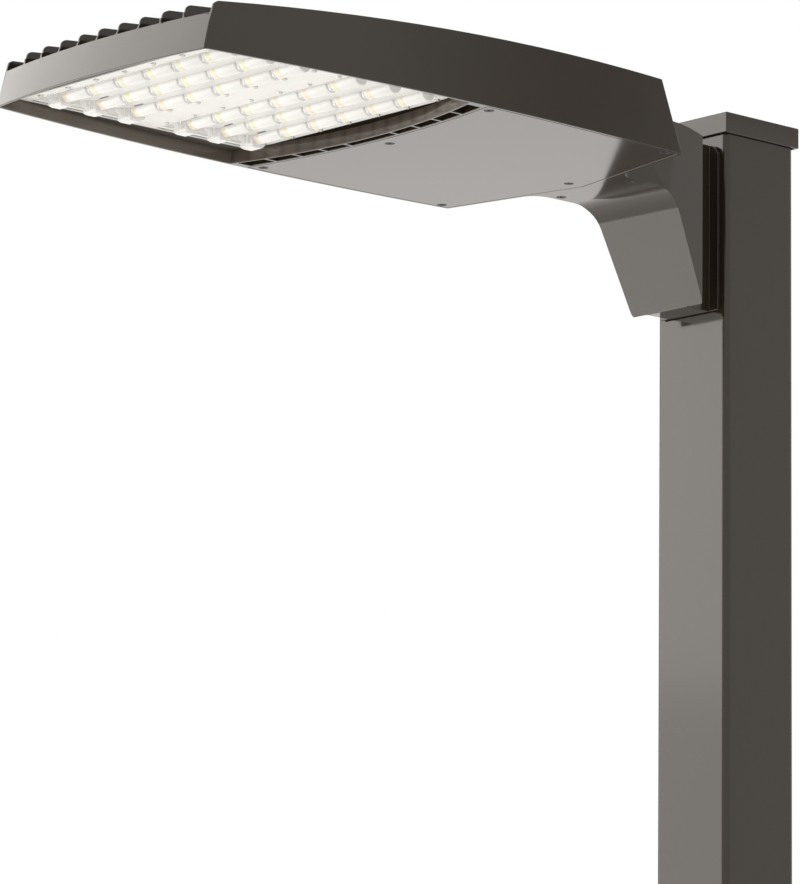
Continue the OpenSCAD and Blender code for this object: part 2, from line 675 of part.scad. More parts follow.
// Pressed bezel that holds both lens plates, with a long slot beside each of them
module lens_bezel() color([0.80, 0.80, 0.79]) on_pole() difference() {
    intersection() {
        translate([-wide, -engine_y - bezel_front, bezel_z - over])
            cube([2 * wide, 2 * bezel_front, bezel_t + 2 * over]);
        before_arc(bezel_y, bezel_r, bezel_z - over, bezel_z + bezel_t + over);
        before_arc(rim_y + bezel_gap, rim_r, bezel_z - over, bezel_z + bezel_t + over);
        barrel(wall_t + bezel_gap, bezel_z, bezel_z + bezel_t);
    }
    inner_l = lens_len - 2 * bezel_w;
    for (m = [-1, 1]) translate([0, -engine_y + m * module_y - inner_l / 2, bezel_z - over]) {
        translate([-lens_half_w + bezel_w, 0, 0])
            cube([2 * (lens_half_w - bezel_w), inner_l, bezel_t + 2 * over]);
        for (s = [-1, 1]) translate([s * slot_x - slot_w / 2, 0, 0])
            cube([slot_w, inner_l, bezel_t + 2 * over]);
    }
    for (p = lens_screws_at()) translate([p[0], p[1], bezel_z - over])
        cylinder(h = bezel_t + 2 * over, d = lens_screw_d + 1);
}
module lens_screws() color("dimgray") on_pole() for (p = lens_screws_at()) translate([p[0], p[1], 0]) {
    translate([0, 0, bezel_z - 1.8]) cylinder(h = 1.8, d1 = 4.6, d2 = 5.8);
    translate([0, 0, bezel_z - 0.01]) cylinder(h = deck_top - 1 - bezel_z, d = lens_screw_d);
}
// Flat jumper between the two boards, over the lens gaskets and under the boards' ends
jumper_half = module_y - board_len / 2 - 0.1;
module board_jumper() color("white") on_pole() translate([jumper_x, -engine_y, 0]) both_ends()
    across(jumper_w / 2) polygon([[0, deck_z], [0, deck_z + jumper_t], [jumper_half, deck_z + jumper_t],
        [jumper_half, board_z], [jumper_half + 6, board_z], [jumper_half + 6, board_z - jumper_t],
        [jumper_half - jumper_t, board_z - jumper_t], [jumper_half - jumper_t, deck_z]]);
module both_ends() { children(); mirror([0, 1, 0]) children(); }

// Gear door with its locating rim; the inset is from the walls' outer faces and from the front seam
module door_plate(inset, front_gap, z0, z1) difference() {
    intersection() {
        barrel(inset, z0, z1);
        before_rear(inset);
    }
    before_arc(seam_y - front_gap, seam_r, z0 - 1, z1 + 1);
}
door_edge = wall_t + door_gap;
rim_inset = wall_t + seat_w + 7;
module door() color([0.22, 0.205, 0.19]) on_pole() difference() {
    union() {
        door_plate(door_edge, door_gap, 0, door_t);
        difference() {
            door_plate(rim_inset, rim_inset, door_t - 0.1, door_t + 5);
            door_plate(rim_inset + 2.5, rim_inset + 2.5, door_t - 1, door_t + 6);
            for (p = door_screws_at()) translate([p[0], p[1], door_t]) cylinder(h = 12, r = boss_r + 1.5);
            translate([-6.5, -seam_y, door_t]) cube([13, seam_y - rear_y, 12]);
        }
    }
    for (p = door_screws_at()) translate([p[0], p[1], -over]) {
        cylinder(h = door_t + 3, d = door_screw_d + 0.6);
        cylinder(h = over + head_t, d = head_d + 0.4);
    }
}
module door_gasket() color(rubber) on_pole() difference() {
    door_plate(door_edge + 0.2, door_edge + 0.2, door_t, seat_z);
    door_plate(door_edge + 0.2 + gasket_w, door_edge + 0.2 + gasket_w, door_t - over, seat_z + over);
}
// Socket-head screws, sunk into the door
module sunk_screw(l) difference() {
    union() {
        cylinder(h = head_t, d = head_d);
        cylinder(h = l, d = shank_d);
    }
    translate([0, 0, -over]) cylinder(h = 2, d = door_screw_d * 0.7, $fn = 6);
}
module door_screws() color("dimgray") on_pole() for (p = door_screws_at()) translate([p[0], p[1], 0])
    sunk_screw(seat_z + 10);
module arm_screws() color("dimgray") on_pole() for (p = arm_screws_at()) translate([p[0], p[1], 0])
    sunk_screw(arm_wall + clamp_h + 6);
// Bar inside the arm that holds the supply wires down, on two posts
module wire_clamp() color(steel) on_pole() difference() {
    translate([-arm_half_w + arm_wall + over, -rear_y + 8, arm_wall + clamp_h])
        cube([2 * (arm_half_w - arm_wall - over), 12, 4]);
    for (p = arm_screws_at()) translate([p[0], p[1], arm_wall + clamp_h - over])
        cylinder(h = 6, d = shank_d);
}

// Driver with its mounting ends
module driver() color([0.85, 0.85, 0.84]) on_pole() difference() {
    union() {
        translate([-driver_l / 2 + 16, -driver_y - driver_w / 2, driver_top - driver_h])
            cube([driver_l - 32, driver_w, driver_h]);
        translate([-driver_l / 2, -driver_y - driver_w / 2, driver_top - driver_ear_t])
            cube([driver_l, driver_w, driver_ear_t]);
    }
    for (p = driver_posts) translate([p[0], p[1], driver_top - 10]) cylinder(h = 20, d = post_d + 1);
}
// Screws that hang a piece of gear from its posts by ears of thickness t
module post_screws(posts, t) color(steel) on_pole() for (p = posts)
    translate([p[0], p[1], driver_top - t]) {
        translate([0, 0, -3]) cylinder(h = 3, d = 8);
        translate([0, 0, -0.01]) cylinder(h = t + 6, d = post_d);
    }
// A small block that hangs from two posts by its ears
module hung_block(c, size, posts) difference() {
    union() {
        translate([c[0] - size[0] / 2 + 10, c[1] - size[1] / 2, driver_top - size[2]])
            cube([size[0] - 20, size[1], size[2]]);
        translate([c[0] - size[0] / 2, c[1] - ear_w / 2, driver_top - ear_t]) cube([size[0], ear_w, ear_t]);
    }
    for (p = posts) translate([p[0], p[1], driver_top - 10]) cylinder(h = 20, d = post_d + 1);
}
module driver_screws() post_screws(driver_posts, driver_ear_t);
module surge_protector() color([0.12, 0.12, 0.13]) on_pole() hung_block(surge_c, surge_size, surge_posts);
module surge_screws() post_screws(surge_posts, ear_t);
module terminal_block() color([0.15, 0.15, 0.15]) on_pole() difference() {
    hung_block(terminal_c, terminal_size, terminal_posts);
    for (i = [-1:1])
        translate([terminal_c[0] + i * 15, terminal_c[1], driver_top - terminal_size[2] - over])
            cylinder(h = 3 + over, d = 6);
}
module terminal_screws() post_screws(terminal_posts, ear_t);
module ground_screw() color("green") on_pole()
    translate([ground_c[0], ground_c[1], driver_top - ground_drop]) {
        translate([0, 0, -3]) cylinder(h = 3, d = 9, $fn = 6);
        translate([0, 0, -0.01]) cylinder(h = 6, d = post_d);
    }

// A route with its corners rounded, r being how far a bend reaches along each leg
function rounded(p, r) = concat([p[0]], [for (i = [1:1:len(p) - 2], k = [0:4]) let (t = k / 4,
    a = p[i] + unit(p[i - 1] - p[i]) * min(r, norm(p[i - 1] - p[i]) * 0.45),
    b = p[i] + unit(p[i + 1] - p[i]) * min(r, norm(p[i + 1] - p[i]) * 0.45))
    (1 - t) * (1 - t) * a + 2 * t * (1 - t) * p[i] + t * t * b], [p[len(p) - 1]]);
function unit(v) = v / norm(v);
function tangents(p) = [for (i = [0:len(p) - 1]) unit(p[min(i + 1, len(p) - 1)] - p[max(i - 1, 0)])];
function carried(t, u, i = 0) = i == len(t) ? [] :
    let (n = unit(u - (u * t[i]) * t[i])) concat([n], carried(t, n, i + 1));
// A lead swept along a route, with eight sides
module lead(points, start_side = [0, 0, 1], sides = 8) {
    p = rounded(points, 12);
    t = tangents(p);
    u = carried(t, start_side);
    last = len(p) - 1;
    ring = [for (i = [0:last], k = [0:sides - 1]) let (a = 360 * k / sides)
        p[i] + lead_d / 2 * (u[i] * cos(a) + cross(t[i], u[i]) * sin(a))];
    polyhedron(ring, concat(
        [for (i = [0:last - 1], k = [0:sides - 1], h = [0, 1]) let (n = (k + 1) % sides, b = i * sides)
            h == 0 ? [b + k, b + sides + k, b + n] : [b + n, b + sides + k, b + sides + n]],
        [for (k = [1:sides - 2]) [0, k, k + 1]],
        [for (k = [1:sides - 2]) [last * sides, last * sides + k + 1, last * sides + k]]));
}
driver_face_x = driver_l / 2 - 16;
lead_z = driver_top - driver_h / 2;
lead_up = 6; // height of the small pieces' leads above the driver's
lead_off = 14; // from the driver's middle to where its leads leave it
lead_run = 18; // straight run of a lead out of a piece of gear
lead_turn = 50; // from the driver's middle to where its leads turn inwards
module led_lead() color("firebrick") on_pole() lead([
    [-driver_face_x, -driver_y - lead_off, lead_z],
    [-driver_face_x - lead_run, -driver_y - lead_off, lead_z],
    [-driver_face_x - lead_run, -driver_y - lead_turn, lead_z],
    [-lead_run, -seam_y + lead_off + lead_run, wire_way_z],
    [0, -seam_y + lead_off, wire_way_z], [0, wire_drop_y, wire_way_z], [0, wire_drop_y, deck_z]]);
module driver_lead() color(rubber) on_pole() lead([
    [-driver_face_x, -driver_y + lead_off, lead_z],
    [-driver_face_x - lead_run, -driver_y + lead_off, lead_z],
    [-driver_face_x - lead_run, -driver_y + lead_turn, lead_z],
    [terminal_c[0], terminal_c[1] - terminal_size[1] / 2 - lead_run, lead_z + lead_up],
    [terminal_c[0], terminal_c[1] - terminal_size[1] / 2, lead_z + lead_up]]);
block_end = 10; // from the end of a hung block's ear to the end of its body
terminal_end = terminal_size[0] / 2 - block_end; // from the block's middle to the end of its body
surge_end = surge_size[0] / 2 - block_end;
module surge_lead() color(rubber) on_pole() lead([
    [terminal_c[0] + terminal_end, terminal_c[1], lead_z + lead_up],
    [terminal_c[0] + terminal_end + lead_run, terminal_c[1], lead_z + lead_up],
    [0, terminal_c[1] - 8, lead_z + lead_up],
    [surge_c[0] - surge_end - lead_run, surge_c[1], lead_z + lead_up],
    [surge_c[0] - surge_end, surge_c[1], lead_z + lead_up]]);
ground_z = driver_top - ground_drop - 1.5; // middle of the ground screw's head
module ground_lead() color("green") on_pole() lead([
    [terminal_c[0] - terminal_end, terminal_c[1], lead_z + lead_up],
    [terminal_c[0] - terminal_end - 9, terminal_c[1], lead_z + lead_up],
    [ground_c[0] + 2, terminal_c[1] - lead_off, lead_z],
    [ground_c[0], ground_c[1] + lead_off, ground_z - lead_d / 2],
    [ground_c[0], ground_c[1] + 4.5, ground_z]]);
// Rubber grommet where the lamp leads pass the gear space's front wall
module lead_grommet() color(rubber) on_pole() translate([0, -seam_y, wire_way_z]) rotate([-90, 0, 0])
    difference() {
        union() {
            translate([0, 0, -8]) cylinder(h = 8, d = wire_way_d - 0.2);
            cylinder(h = 2.5, d = 20);
        }
        translate([0, 0, -9]) cylinder(h = 13, d = lead_d + 0.2);
    }

pole();
pole_cap();
housing();
mount_gasket();
mount_bolts();
mount_washers();
nut_plate();
mount_nuts();
wire_bushing();
board_front();
board_rear();
leds_front();
leds_rear();
lens_front();
lens_rear();
lens_gasket_front();
lens_gasket_rear();
lens_bezel();
lens_screws();
board_jumper();
door();
door_gasket();
door_screws();
wire_clamp();
arm_screws();
driver();
driver_screws();
surge_protector();
surge_screws();
terminal_block();
terminal_screws();
ground_screw();
led_lead();
driver_lead();
surge_lead();
ground_lead();
lead_grommet();
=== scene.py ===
"""Dresses a pole-mounted flood light in paint, glass and metal, and lights it.

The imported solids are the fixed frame: Z is up, the head reaches out along -Y,
and the origin is the middle of the pole section's lower end. Lengths are in
metres. Each sub-assembly is a class that builds its pieces and gives each one
its finish; the studio class holds the camera, the lights and the floor.
"""

from __future__ import annotations

import logging
import math
from collections.abc import Callable, Sequence
from dataclasses import dataclass
from enum import Enum

import bpy
from mathutils import Matrix, Vector

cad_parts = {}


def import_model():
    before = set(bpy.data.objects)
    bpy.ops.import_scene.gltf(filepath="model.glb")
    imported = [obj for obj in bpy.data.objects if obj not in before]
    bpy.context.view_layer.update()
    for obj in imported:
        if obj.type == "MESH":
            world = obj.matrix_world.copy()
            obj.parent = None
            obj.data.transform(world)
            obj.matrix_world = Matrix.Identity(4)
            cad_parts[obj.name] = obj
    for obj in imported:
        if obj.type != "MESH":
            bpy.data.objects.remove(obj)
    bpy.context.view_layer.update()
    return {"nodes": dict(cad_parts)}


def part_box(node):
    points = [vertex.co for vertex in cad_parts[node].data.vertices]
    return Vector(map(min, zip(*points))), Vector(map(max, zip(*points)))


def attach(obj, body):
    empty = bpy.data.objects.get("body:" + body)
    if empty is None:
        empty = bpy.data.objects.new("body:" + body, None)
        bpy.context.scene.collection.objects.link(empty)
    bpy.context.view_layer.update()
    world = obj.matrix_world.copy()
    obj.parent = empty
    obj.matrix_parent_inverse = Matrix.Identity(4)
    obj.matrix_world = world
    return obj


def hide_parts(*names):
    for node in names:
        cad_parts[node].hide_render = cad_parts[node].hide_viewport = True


LOG = logging.getLogger("flood_light")
MM = 0.001
Colour = tuple[float, float, float]
Point = tuple[float, float, float]
Pair = tuple[float, float]
SQUARE = 0.9  # a face looks along an axis when its normal reaches this far


class Body(Enum):
    """The bodies that the pieces ride on."""

    LIGHT = "light"
    DOOR = "door"
    CAP = "cap"


# Node trees
@dataclass(frozen=True)
class Wire:
    """A number socket whose arithmetic adds Math nodes to its tree."""

    bench: NodeBench
    socket: bpy.types.NodeSocket

    def _math(self, operation: str, first: Wire | float, second: Wire | float) -> Wire:
        """The result of a new Math node, of its operation and its two values or links."""
        node = self.bench.add("ShaderNodeMath", {"operation": operation}, {0: first, 1: second})
        return self.bench.wire(node)

    def __add__(self, other: Wire | float) -> Wire:
        """Sum."""
        return self._math("ADD", self, other)

    def __radd__(self, other: float) -> Wire:
        """Sum with a number on the left."""
        return self._math("ADD", other, self)

    def __sub__(self, other: Wire | float) -> Wire:
        """Difference."""
        return self._math("SUBTRACT", self, other)

    def __rsub__(self, other: float) -> Wire:
        """Difference from a number on the left."""
        return self._math("SUBTRACT", other, self)

    def __mul__(self, other: Wire | float) -> Wire:
        """Product."""
        return self._math("MULTIPLY", self, other)

    def __rmul__(self, other: float) -> Wire:
        """Product with a number on the left."""
        return self._math("MULTIPLY", other, self)

    def larger(self, other: Wire | float) -> Wire:
        """The larger of two values."""
        return self._math("MAXIMUM", self, other)

    def wrapped(self, period: float) -> Wire:
        """What is left over from whole periods, never negative."""
        return self._math("FLOORED_MODULO", self, period)

    def root(self) -> Wire:
        """The square root."""
        return self._math("SQRT", self, 0.0)

    def size(self) -> Wire:
        """The value without its sign."""
        return self._math("ABSOLUTE", self, 0.0)

    def between(self, low: float, high: float) -> Wire:
        """0 below low, 1 above high and a smooth rise from one to the other."""
        node = self.bench.add(
            "ShaderNodeMapRange",
            {"interpolation_type": "SMOOTHSTEP", "clamp": True},
            {"Value": self, "From Min": low, "From Max": high},
        )
        return self.bench.wire(node)


class NodeBench:
    """The node tree of one material or world."""

    def __init__(self, owner: bpy.types.Material | bpy.types.World) -> None:
        """Start an empty tree.

        Args:
            owner: The material or world that the tree belongs to.
        """
        owner.use_nodes = True
        self.tree = owner.node_tree
        self.tree.nodes.clear()

    def add(
        self,
        kind: str,
        settings: dict[str, object] | None = None,
        inputs: dict[str | int, object] | None = None,
    ) -> bpy.types.Node:
        """Add a node, set its settings first and then its sockets.

        Args:
            kind: The node's type.
            settings: Its properties.
            inputs: Values or links by socket name or number.

        Returns:
            The new node.
        """
        node = self.tree.nodes.new(kind)
        for key, value in (settings or {}).items():
            setattr(node, key, value)
        for key, value in (inputs or {}).items():
            socket = node.inputs[key]
            if isinstance(value, Wire):
                self.tree.links.new(value.socket, socket)
            elif isinstance(value, bpy.types.NodeSocket):
                self.tree.links.new(value, socket)
            else:
                socket.default_value = value
        return node

    def wire(self, node: bpy.types.Node, output: str | int = 0) -> Wire:
        """The output of a node as a number that can be calculated with."""
        return Wire(self, node.outputs[output])

    def place(self) -> bpy.types.NodeSocket:
        """The Object coordinates, in metres."""
        return self.add("ShaderNodeTexCoord").outputs["Object"]

    def along(self, axis: int) -> Wire:
        """One Object coordinate: 0 for X, 1 for Y, 2 for Z."""
        return self.wire(self.add("ShaderNodeSeparateXYZ", inputs={0: self.place()}), axis)

    def noise(self, scale: float, detail: float = 2.0, stretch: Point | None = None) -> Wire:
        """Noise over Object coordinates.

        Args:
            scale: Waves in a metre.
            detail: Finer octaves.
            stretch: Scale of each axis, for drawn or brushed grain.

        Returns:
            The noise value, about 0.5 in the middle.
        """
        vector = self.place()
        if stretch is not None:
            vector = self.add("ShaderNodeMapping", inputs={"Vector": vector, "Scale": stretch}).outputs[0]
        inputs = {"Vector": vector, "Scale": scale, "Detail": detail}
        return self.wire(self.add("ShaderNodeTexNoise", inputs=inputs))

    def mix(self, factor: Wire | float, first: object, second: object) -> bpy.types.NodeSocket:
        """A mix of two colours or links: factor 0 gives the first and 1 the second."""
        node = self.add("ShaderNodeMix", {"data_type": "RGBA"}, {"Factor": factor, 6: first, 7: second})
        return node.outputs[2]

    def uneven(self, noise: Wire, colour: Colour, spread: float) -> bpy.types.NodeSocket:
        """A colour that noise makes darker or lighter by up to a share."""
        return self.mix(noise, tinted(colour, 1.0 - spread), tinted(colour, 1.0 + spread))

    def bump(self, height: Wire, strength: float, distance: float) -> bpy.types.NodeSocket:
        """A normal bumped by a height, whose full step is distance metres."""
        inputs = {"Height": height, "Strength": strength, "Distance": distance}
        return self.add("ShaderNodeBump", inputs=inputs).outputs[0]

    def surface(self, inputs: dict[str, object]) -> None:
        """Close a material with one Principled shader."""
        shader = self.add("ShaderNodeBsdfPrincipled", inputs=inputs)
        self.finish(shader.outputs[0])

    def finish(self, shader: bpy.types.NodeSocket) -> None:
        """Link a shader to the material's output."""
        self.add("ShaderNodeOutputMaterial", inputs={"Surface": shader})


# Finishes
def rgba(colour: Colour) -> tuple[float, float, float, float]:
    """A linear colour with full alpha."""
    return (*colour, 1.0)


def tinted(colour: Colour, factor: float) -> tuple[float, float, float, float]:
    """A colour made lighter or darker by a factor, with full alpha."""
    return (colour[0] * factor, colour[1] * factor, colour[2] * factor, 1.0)


@dataclass(frozen=True)
class Finish:
    """What every finish has: a name, a material slot and a colour that may differ by place."""

    name: str
    slot: str

    def bench(self) -> tuple[bpy.types.Material, NodeBench]:
        """A new material with its empty tree."""
        material = bpy.data.materials.new(self.name)
        return material, NodeBench(material)

    def tone(self, _bench: NodeBench, colour: bpy.types.NodeSocket) -> bpy.types.NodeSocket:
        """The colour as it is; a finish that differs by place says how."""
        return colour


@dataclass(frozen=True)
class PowderCoat(Finish):
    """Baked semi-gloss powder paint: faint orange peel, slightly uneven tone and gloss."""

    colour: Colour = (0.0262, 0.0180, 0.0112)
    roughness: float = 0.11
    spread: float = 0.10
    peel: float = 0.02 * MM
    peel_waves: float = 380.0
    cloud_waves: float = 7.0
    speck_waves: float = 1400.0

    def material(self) -> bpy.types.Material:
        """Build the paint."""
        made, bench = self.bench()
        peel = bench.noise(self.peel_waves, 1.0)
        cloud = bench.noise(self.cloud_waves, 3.0)
        speck = bench.noise(self.speck_waves, 1.0)
        colour = bench.uneven(cloud, self.colour, self.spread)
        bench.surface(
            {
                "Base Color": self.tone(bench, colour),
                "Roughness": self.roughness - 0.02 + 0.03 * cloud + 0.02 * speck,
                "Normal": bench.bump(peel, 0.5, self.peel),
            }
        )
        return made


@dataclass(frozen=True)
class CastingCoat(PowderCoat):
    """The same paint with painted light: paler on the lamp bay's inner walls, standing in for the light that
    the white optics throw on them.

    The bay's walls are arcs in plan: two long sides, the nose that leans back, and the door's rim.
    """

    # pale tone painted on the bay's inner walls for the light of the optics
    painted_optic_light: Colour = (0.125, 0.105, 0.085)
    side_middle: Pair = (2.778, -0.4708)
    side_radius: float = 2.960
    nose_middle: float = 0.1432
    nose_radius: float = 1.000
    nose_lean: float = 0.2586
    rim_middle: float = -1.1363
    rim_radius: float = 0.630
    under: float = 0.766
    deck: float = 0.780
    half_wall: float = 1.75 * MM
    step: float = 0.2 * MM

    def tone(self, bench: NodeBench, colour: bpy.types.NodeSocket) -> bpy.types.NodeSocket:
        """Painted light: paler inside the side walls, behind the nose and in front of the door's rim, up to
        the deck.

        Args:
            bench: The material's node tree.
            colour: The paint's own colour.

        Returns:
            The colour at each place.
        """
        across, ahead, above = (bench.along(axis) for axis in range(3))
        middle_x, middle_y = self.side_middle
        side = self._reach(across.size() + middle_x, ahead - middle_y)
        nose = self._reach(across, ahead - self.nose_middle) + (above - self.under) * self.nose_lean
        rim = self._reach(across, ahead - self.rim_middle)
        inside = self._below(side, self.side_radius - self.half_wall)
        behind = self._below(nose, self.nose_radius - self.half_wall)
        before = 1.0 - rim.between(self.rim_radius - self.step, self.rim_radius + self.step)
        over_lip = above.between(self.under + self.step, self.under + 2 * self.step)
        under_deck = self._below(above, self.deck + self.step)
        # painted light: the pale tone where all the masks meet
        return bench.mix(inside * behind * before * over_lip * under_deck, colour, rgba(self.painted_optic_light))

    @staticmethod
    def _reach(first: Wire, second: Wire) -> Wire:
        """The length of a line from its run along two axes."""
        return (first * first + second * second).root()

    def _below(self, value: Wire, limit: float) -> Wire:
        """1 where a value is a step or more under a limit, and 0 from the limit on."""
        return 1.0 - value.between(limit - self.step, limit)


@dataclass(frozen=True)
class ClearPlastic(Finish):
    """Moulded clear optic, milky where it is thick, with a faint painted glow that brightens it though it is
    no lamp.
    """

    colour: Colour = (0.94, 0.93, 0.91)
    through: float = 0.30
    roughness: float = 0.10
    # strength of the painted glow
    glow: float = 0.05
    refraction: float = 1.49
    ripple: float = 0.1 * MM
    ripple_waves: float = 160.0
    haze_waves: float = 30.0

    def material(self) -> bpy.types.Material:
        """Build the plastic."""
        made, bench = self.bench()
        ripple = bench.noise(self.ripple_waves, 1.0)
        haze = bench.noise(self.haze_waves, 2.0)
        colour = self._colour(bench, haze)
        bench.surface(
            {
                "Base Color": colour,
                # painted glow: emission on a part that is no lamp
                "Emission Color": colour,
                "Emission Strength": self.glow,
                "Roughness": self.roughness + 0.05 * haze,
                "Transmission Weight": self.through,
                "IOR": self.refraction,
                "Normal": bench.bump(ripple, 0.25, self.ripple),
            }
        )
        return made

    def _colour(self, bench: NodeBench, haze: Wire) -> bpy.types.NodeSocket:
        """The plastic's own colour, a little cloudy."""
        return bench.mix(haze, tinted(self.colour, 0.97), rgba(self.colour))


@dataclass(frozen=True)
class LampBar(ClearPlastic):
    """Clear bar with the yellow lamp under it painted on, as it would be seen through the plastic, at the
    same place of every pitch.
    """

    # colours of the lamp painted on the bar as if seen through it
    lamp: Colour = (0.86, 0.76, 0.58)
    lamp_alt: Colour = (0.80, 0.80, 0.54)
    pitch: float = 43.0 * MM
    first: float = 21.5 * MM
    half_lamp: float = 3.0 * MM
    soft: Pair = (0.7, 1.5)
    depth: float = 0.85
    tone_waves: float = 11.0
    tone_split: Pair = (0.42, 0.58)

    def _colour(self, bench: NodeBench, haze: Wire) -> bpy.types.NodeSocket:
        """White with a soft yellow band painted over each lamp, for the lamp seen through the bar.

        Args:
            bench: The material's node tree.
            haze: The plastic's haze.

        Returns:
            The colour at each place.
        """
        white = super()._colour(bench, haze)
        offset = (bench.along(0) + (self.pitch / 2 - self.first)).wrapped(self.pitch) - self.pitch / 2
        solid, faded = self.soft
        painted_lamp_band = 1.0 - offset.size().between(self.half_lamp * solid, self.half_lamp * faded)
        tone = bench.noise(self.tone_waves, 1.0)
        yellow = bench.mix(tone.between(*self.tone_split), rgba(self.lamp), rgba(self.lamp_alt))
        return bench.mix(painted_lamp_band * self.depth, white, yellow)


@dataclass(frozen=True)
class Metal(Finish):
    """Bare or plated metal with a drawn grain."""

    colour: Colour = (0.62, 0.62, 0.61)
    roughness: float = 0.32
    stretch: Point = (1.0, 1.0, 6.0)
    relief: float = 0.05 * MM
    grain_waves: float = 260.0
    bloom_waves: float = 40.0

    def material(self) -> bpy.types.Material:
        """Build the metal."""
        made, bench = self.bench()
        grain = bench.noise(self.grain_waves, 3.0, self.stretch)
        bloom = bench.noise(self.bloom_waves, 3.0)
        bench.surface(
            {
                "Base Color": bench.mix(bloom, tinted(self.colour, 0.82), rgba(self.colour)),
                "Metallic": 1.0,
                "Roughness": self.roughness - 0.08 + 0.16 * grain,
                "Normal": bench.bump(grain, 0.3, self.relief),
            }
        )
        return made


@dataclass(frozen=True)
class Plain(Finish):
    """Rubber, silicone, plastic or paint whose tone and gloss vary a little."""

    colour: Colour = (0.5, 0.5, 0.5)
    roughness: float = 0.5
    spread: float = 0.1
    relief: float = 0.08 * MM
    grain_waves: float = 300.0
    tone_waves: float = 24.0

    def material(self) -> bpy.types.Material:
        """Build the finish."""
        made, bench = self.bench()
        tone = bench.noise(self.tone_waves, 3.0)
        fine = bench.noise(self.grain_waves, 2.0)
        colour = bench.uneven(tone, self.colour, self.spread)
        bench.surface(
            {
                "Base Color": self.tone(bench, colour),
                "Roughness": self.roughness - 0.05 + 0.1 * fine,
                "Normal": bench.bump(fine, 0.4, self.relief),
            }
        )
        return made


@dataclass(frozen=True)
class BezelSheet(Plain):
    """White sheet around the lens plates, dark as the casting beside their ends."""

    edge: float = 156.0 * MM
    step: float = 0.2 * MM
    beside: Colour = (0.045, 0.036, 0.028)

    def tone(self, bench: NodeBench, colour: bpy.types.NodeSocket) -> bpy.types.NodeSocket:
        """Dark outside the strip that the lens plates take up."""
        outside = bench.along(0).size().between(self.edge - self.step, self.edge + self.step)
        return bench.mix(outside, colour, rgba(self.beside))


BRONZE = PowderCoat("bronze powder coat", "bronze_casting")
CASTING = CastingCoat("bronze casting coat", "bronze_casting")
POLE_PAINT = PowderCoat("bronze pole paint", "bronze_pole")
# the clear optics below carry a faint painted glow
OPTIC = ClearPlastic("clear optic", "clear_optic")
LAMP_BAR = LampBar("optic bar over a lamp", "clear_optic", through=0.12)
PRISM = ClearPlastic("clear prism", "clear_optic", through=0.22, roughness=0.08, glow=0.05)
ZINC = Metal("zinc plated steel", "zinc_steel")
DARK_STEEL = Plain("blackened steel", "dark_steel", colour=(0.012, 0.011, 0.010), roughness=0.55)
BEZEL_PAINT = BezelSheet("white bezel paint", "bezel_sheet", colour=(0.90, 0.885, 0.86), roughness=0.38)
BOARD_WHITE = Plain("white board", "board_white", colour=(0.8, 0.8, 0.78), roughness=0.45, spread=0.03)
PHOSPHOR = Plain("lamp yellow", "lamp_yellow", colour=(0.86, 0.66, 0.22), roughness=0.4)
BLACK_RUBBER = Plain("black rubber", "black_rubber", colour=(0.018, 0.018, 0.018), roughness=0.7)
SILICONE = Plain("grey silicone", "grey_silicone", colour=(0.5, 0.5, 0.49), roughness=0.6)
DRIVER_CASE = Metal("driver case", "driver_case", colour=(0.66, 0.66, 0.65), roughness=0.42)
GEAR_BLACK = Plain("black gear plastic", "gear_black", colour=(0.02, 0.02, 0.022), roughness=0.5)
LEAD_RED = Plain("red lead", "lead_red", colour=(0.42, 0.03, 0.025), roughness=0.42)
LEAD_GREEN = Plain("green lead", "lead_green", colour=(0.02, 0.22, 0.05), roughness=0.42)


class Paints:
    """Makes each finish's material once."""

    def __init__(self) -> None:
        """Start with no material made."""
        self._made: dict[str, bpy.types.Material] = {}

    def of(self, finish: Finish) -> bpy.types.Material:
        """The material of a finish."""
        if finish.name not in self._made:
            self._made[finish.name] = finish.material()
        return self._made[finish.name]


PAINTS = Paints()


# Modelling
def deselect_all() -> None:
    """Leave nothing selected and nothing active."""
    bpy.ops.object.select_all(action="DESELECT")
    bpy.context.view_layer.objects.active = None


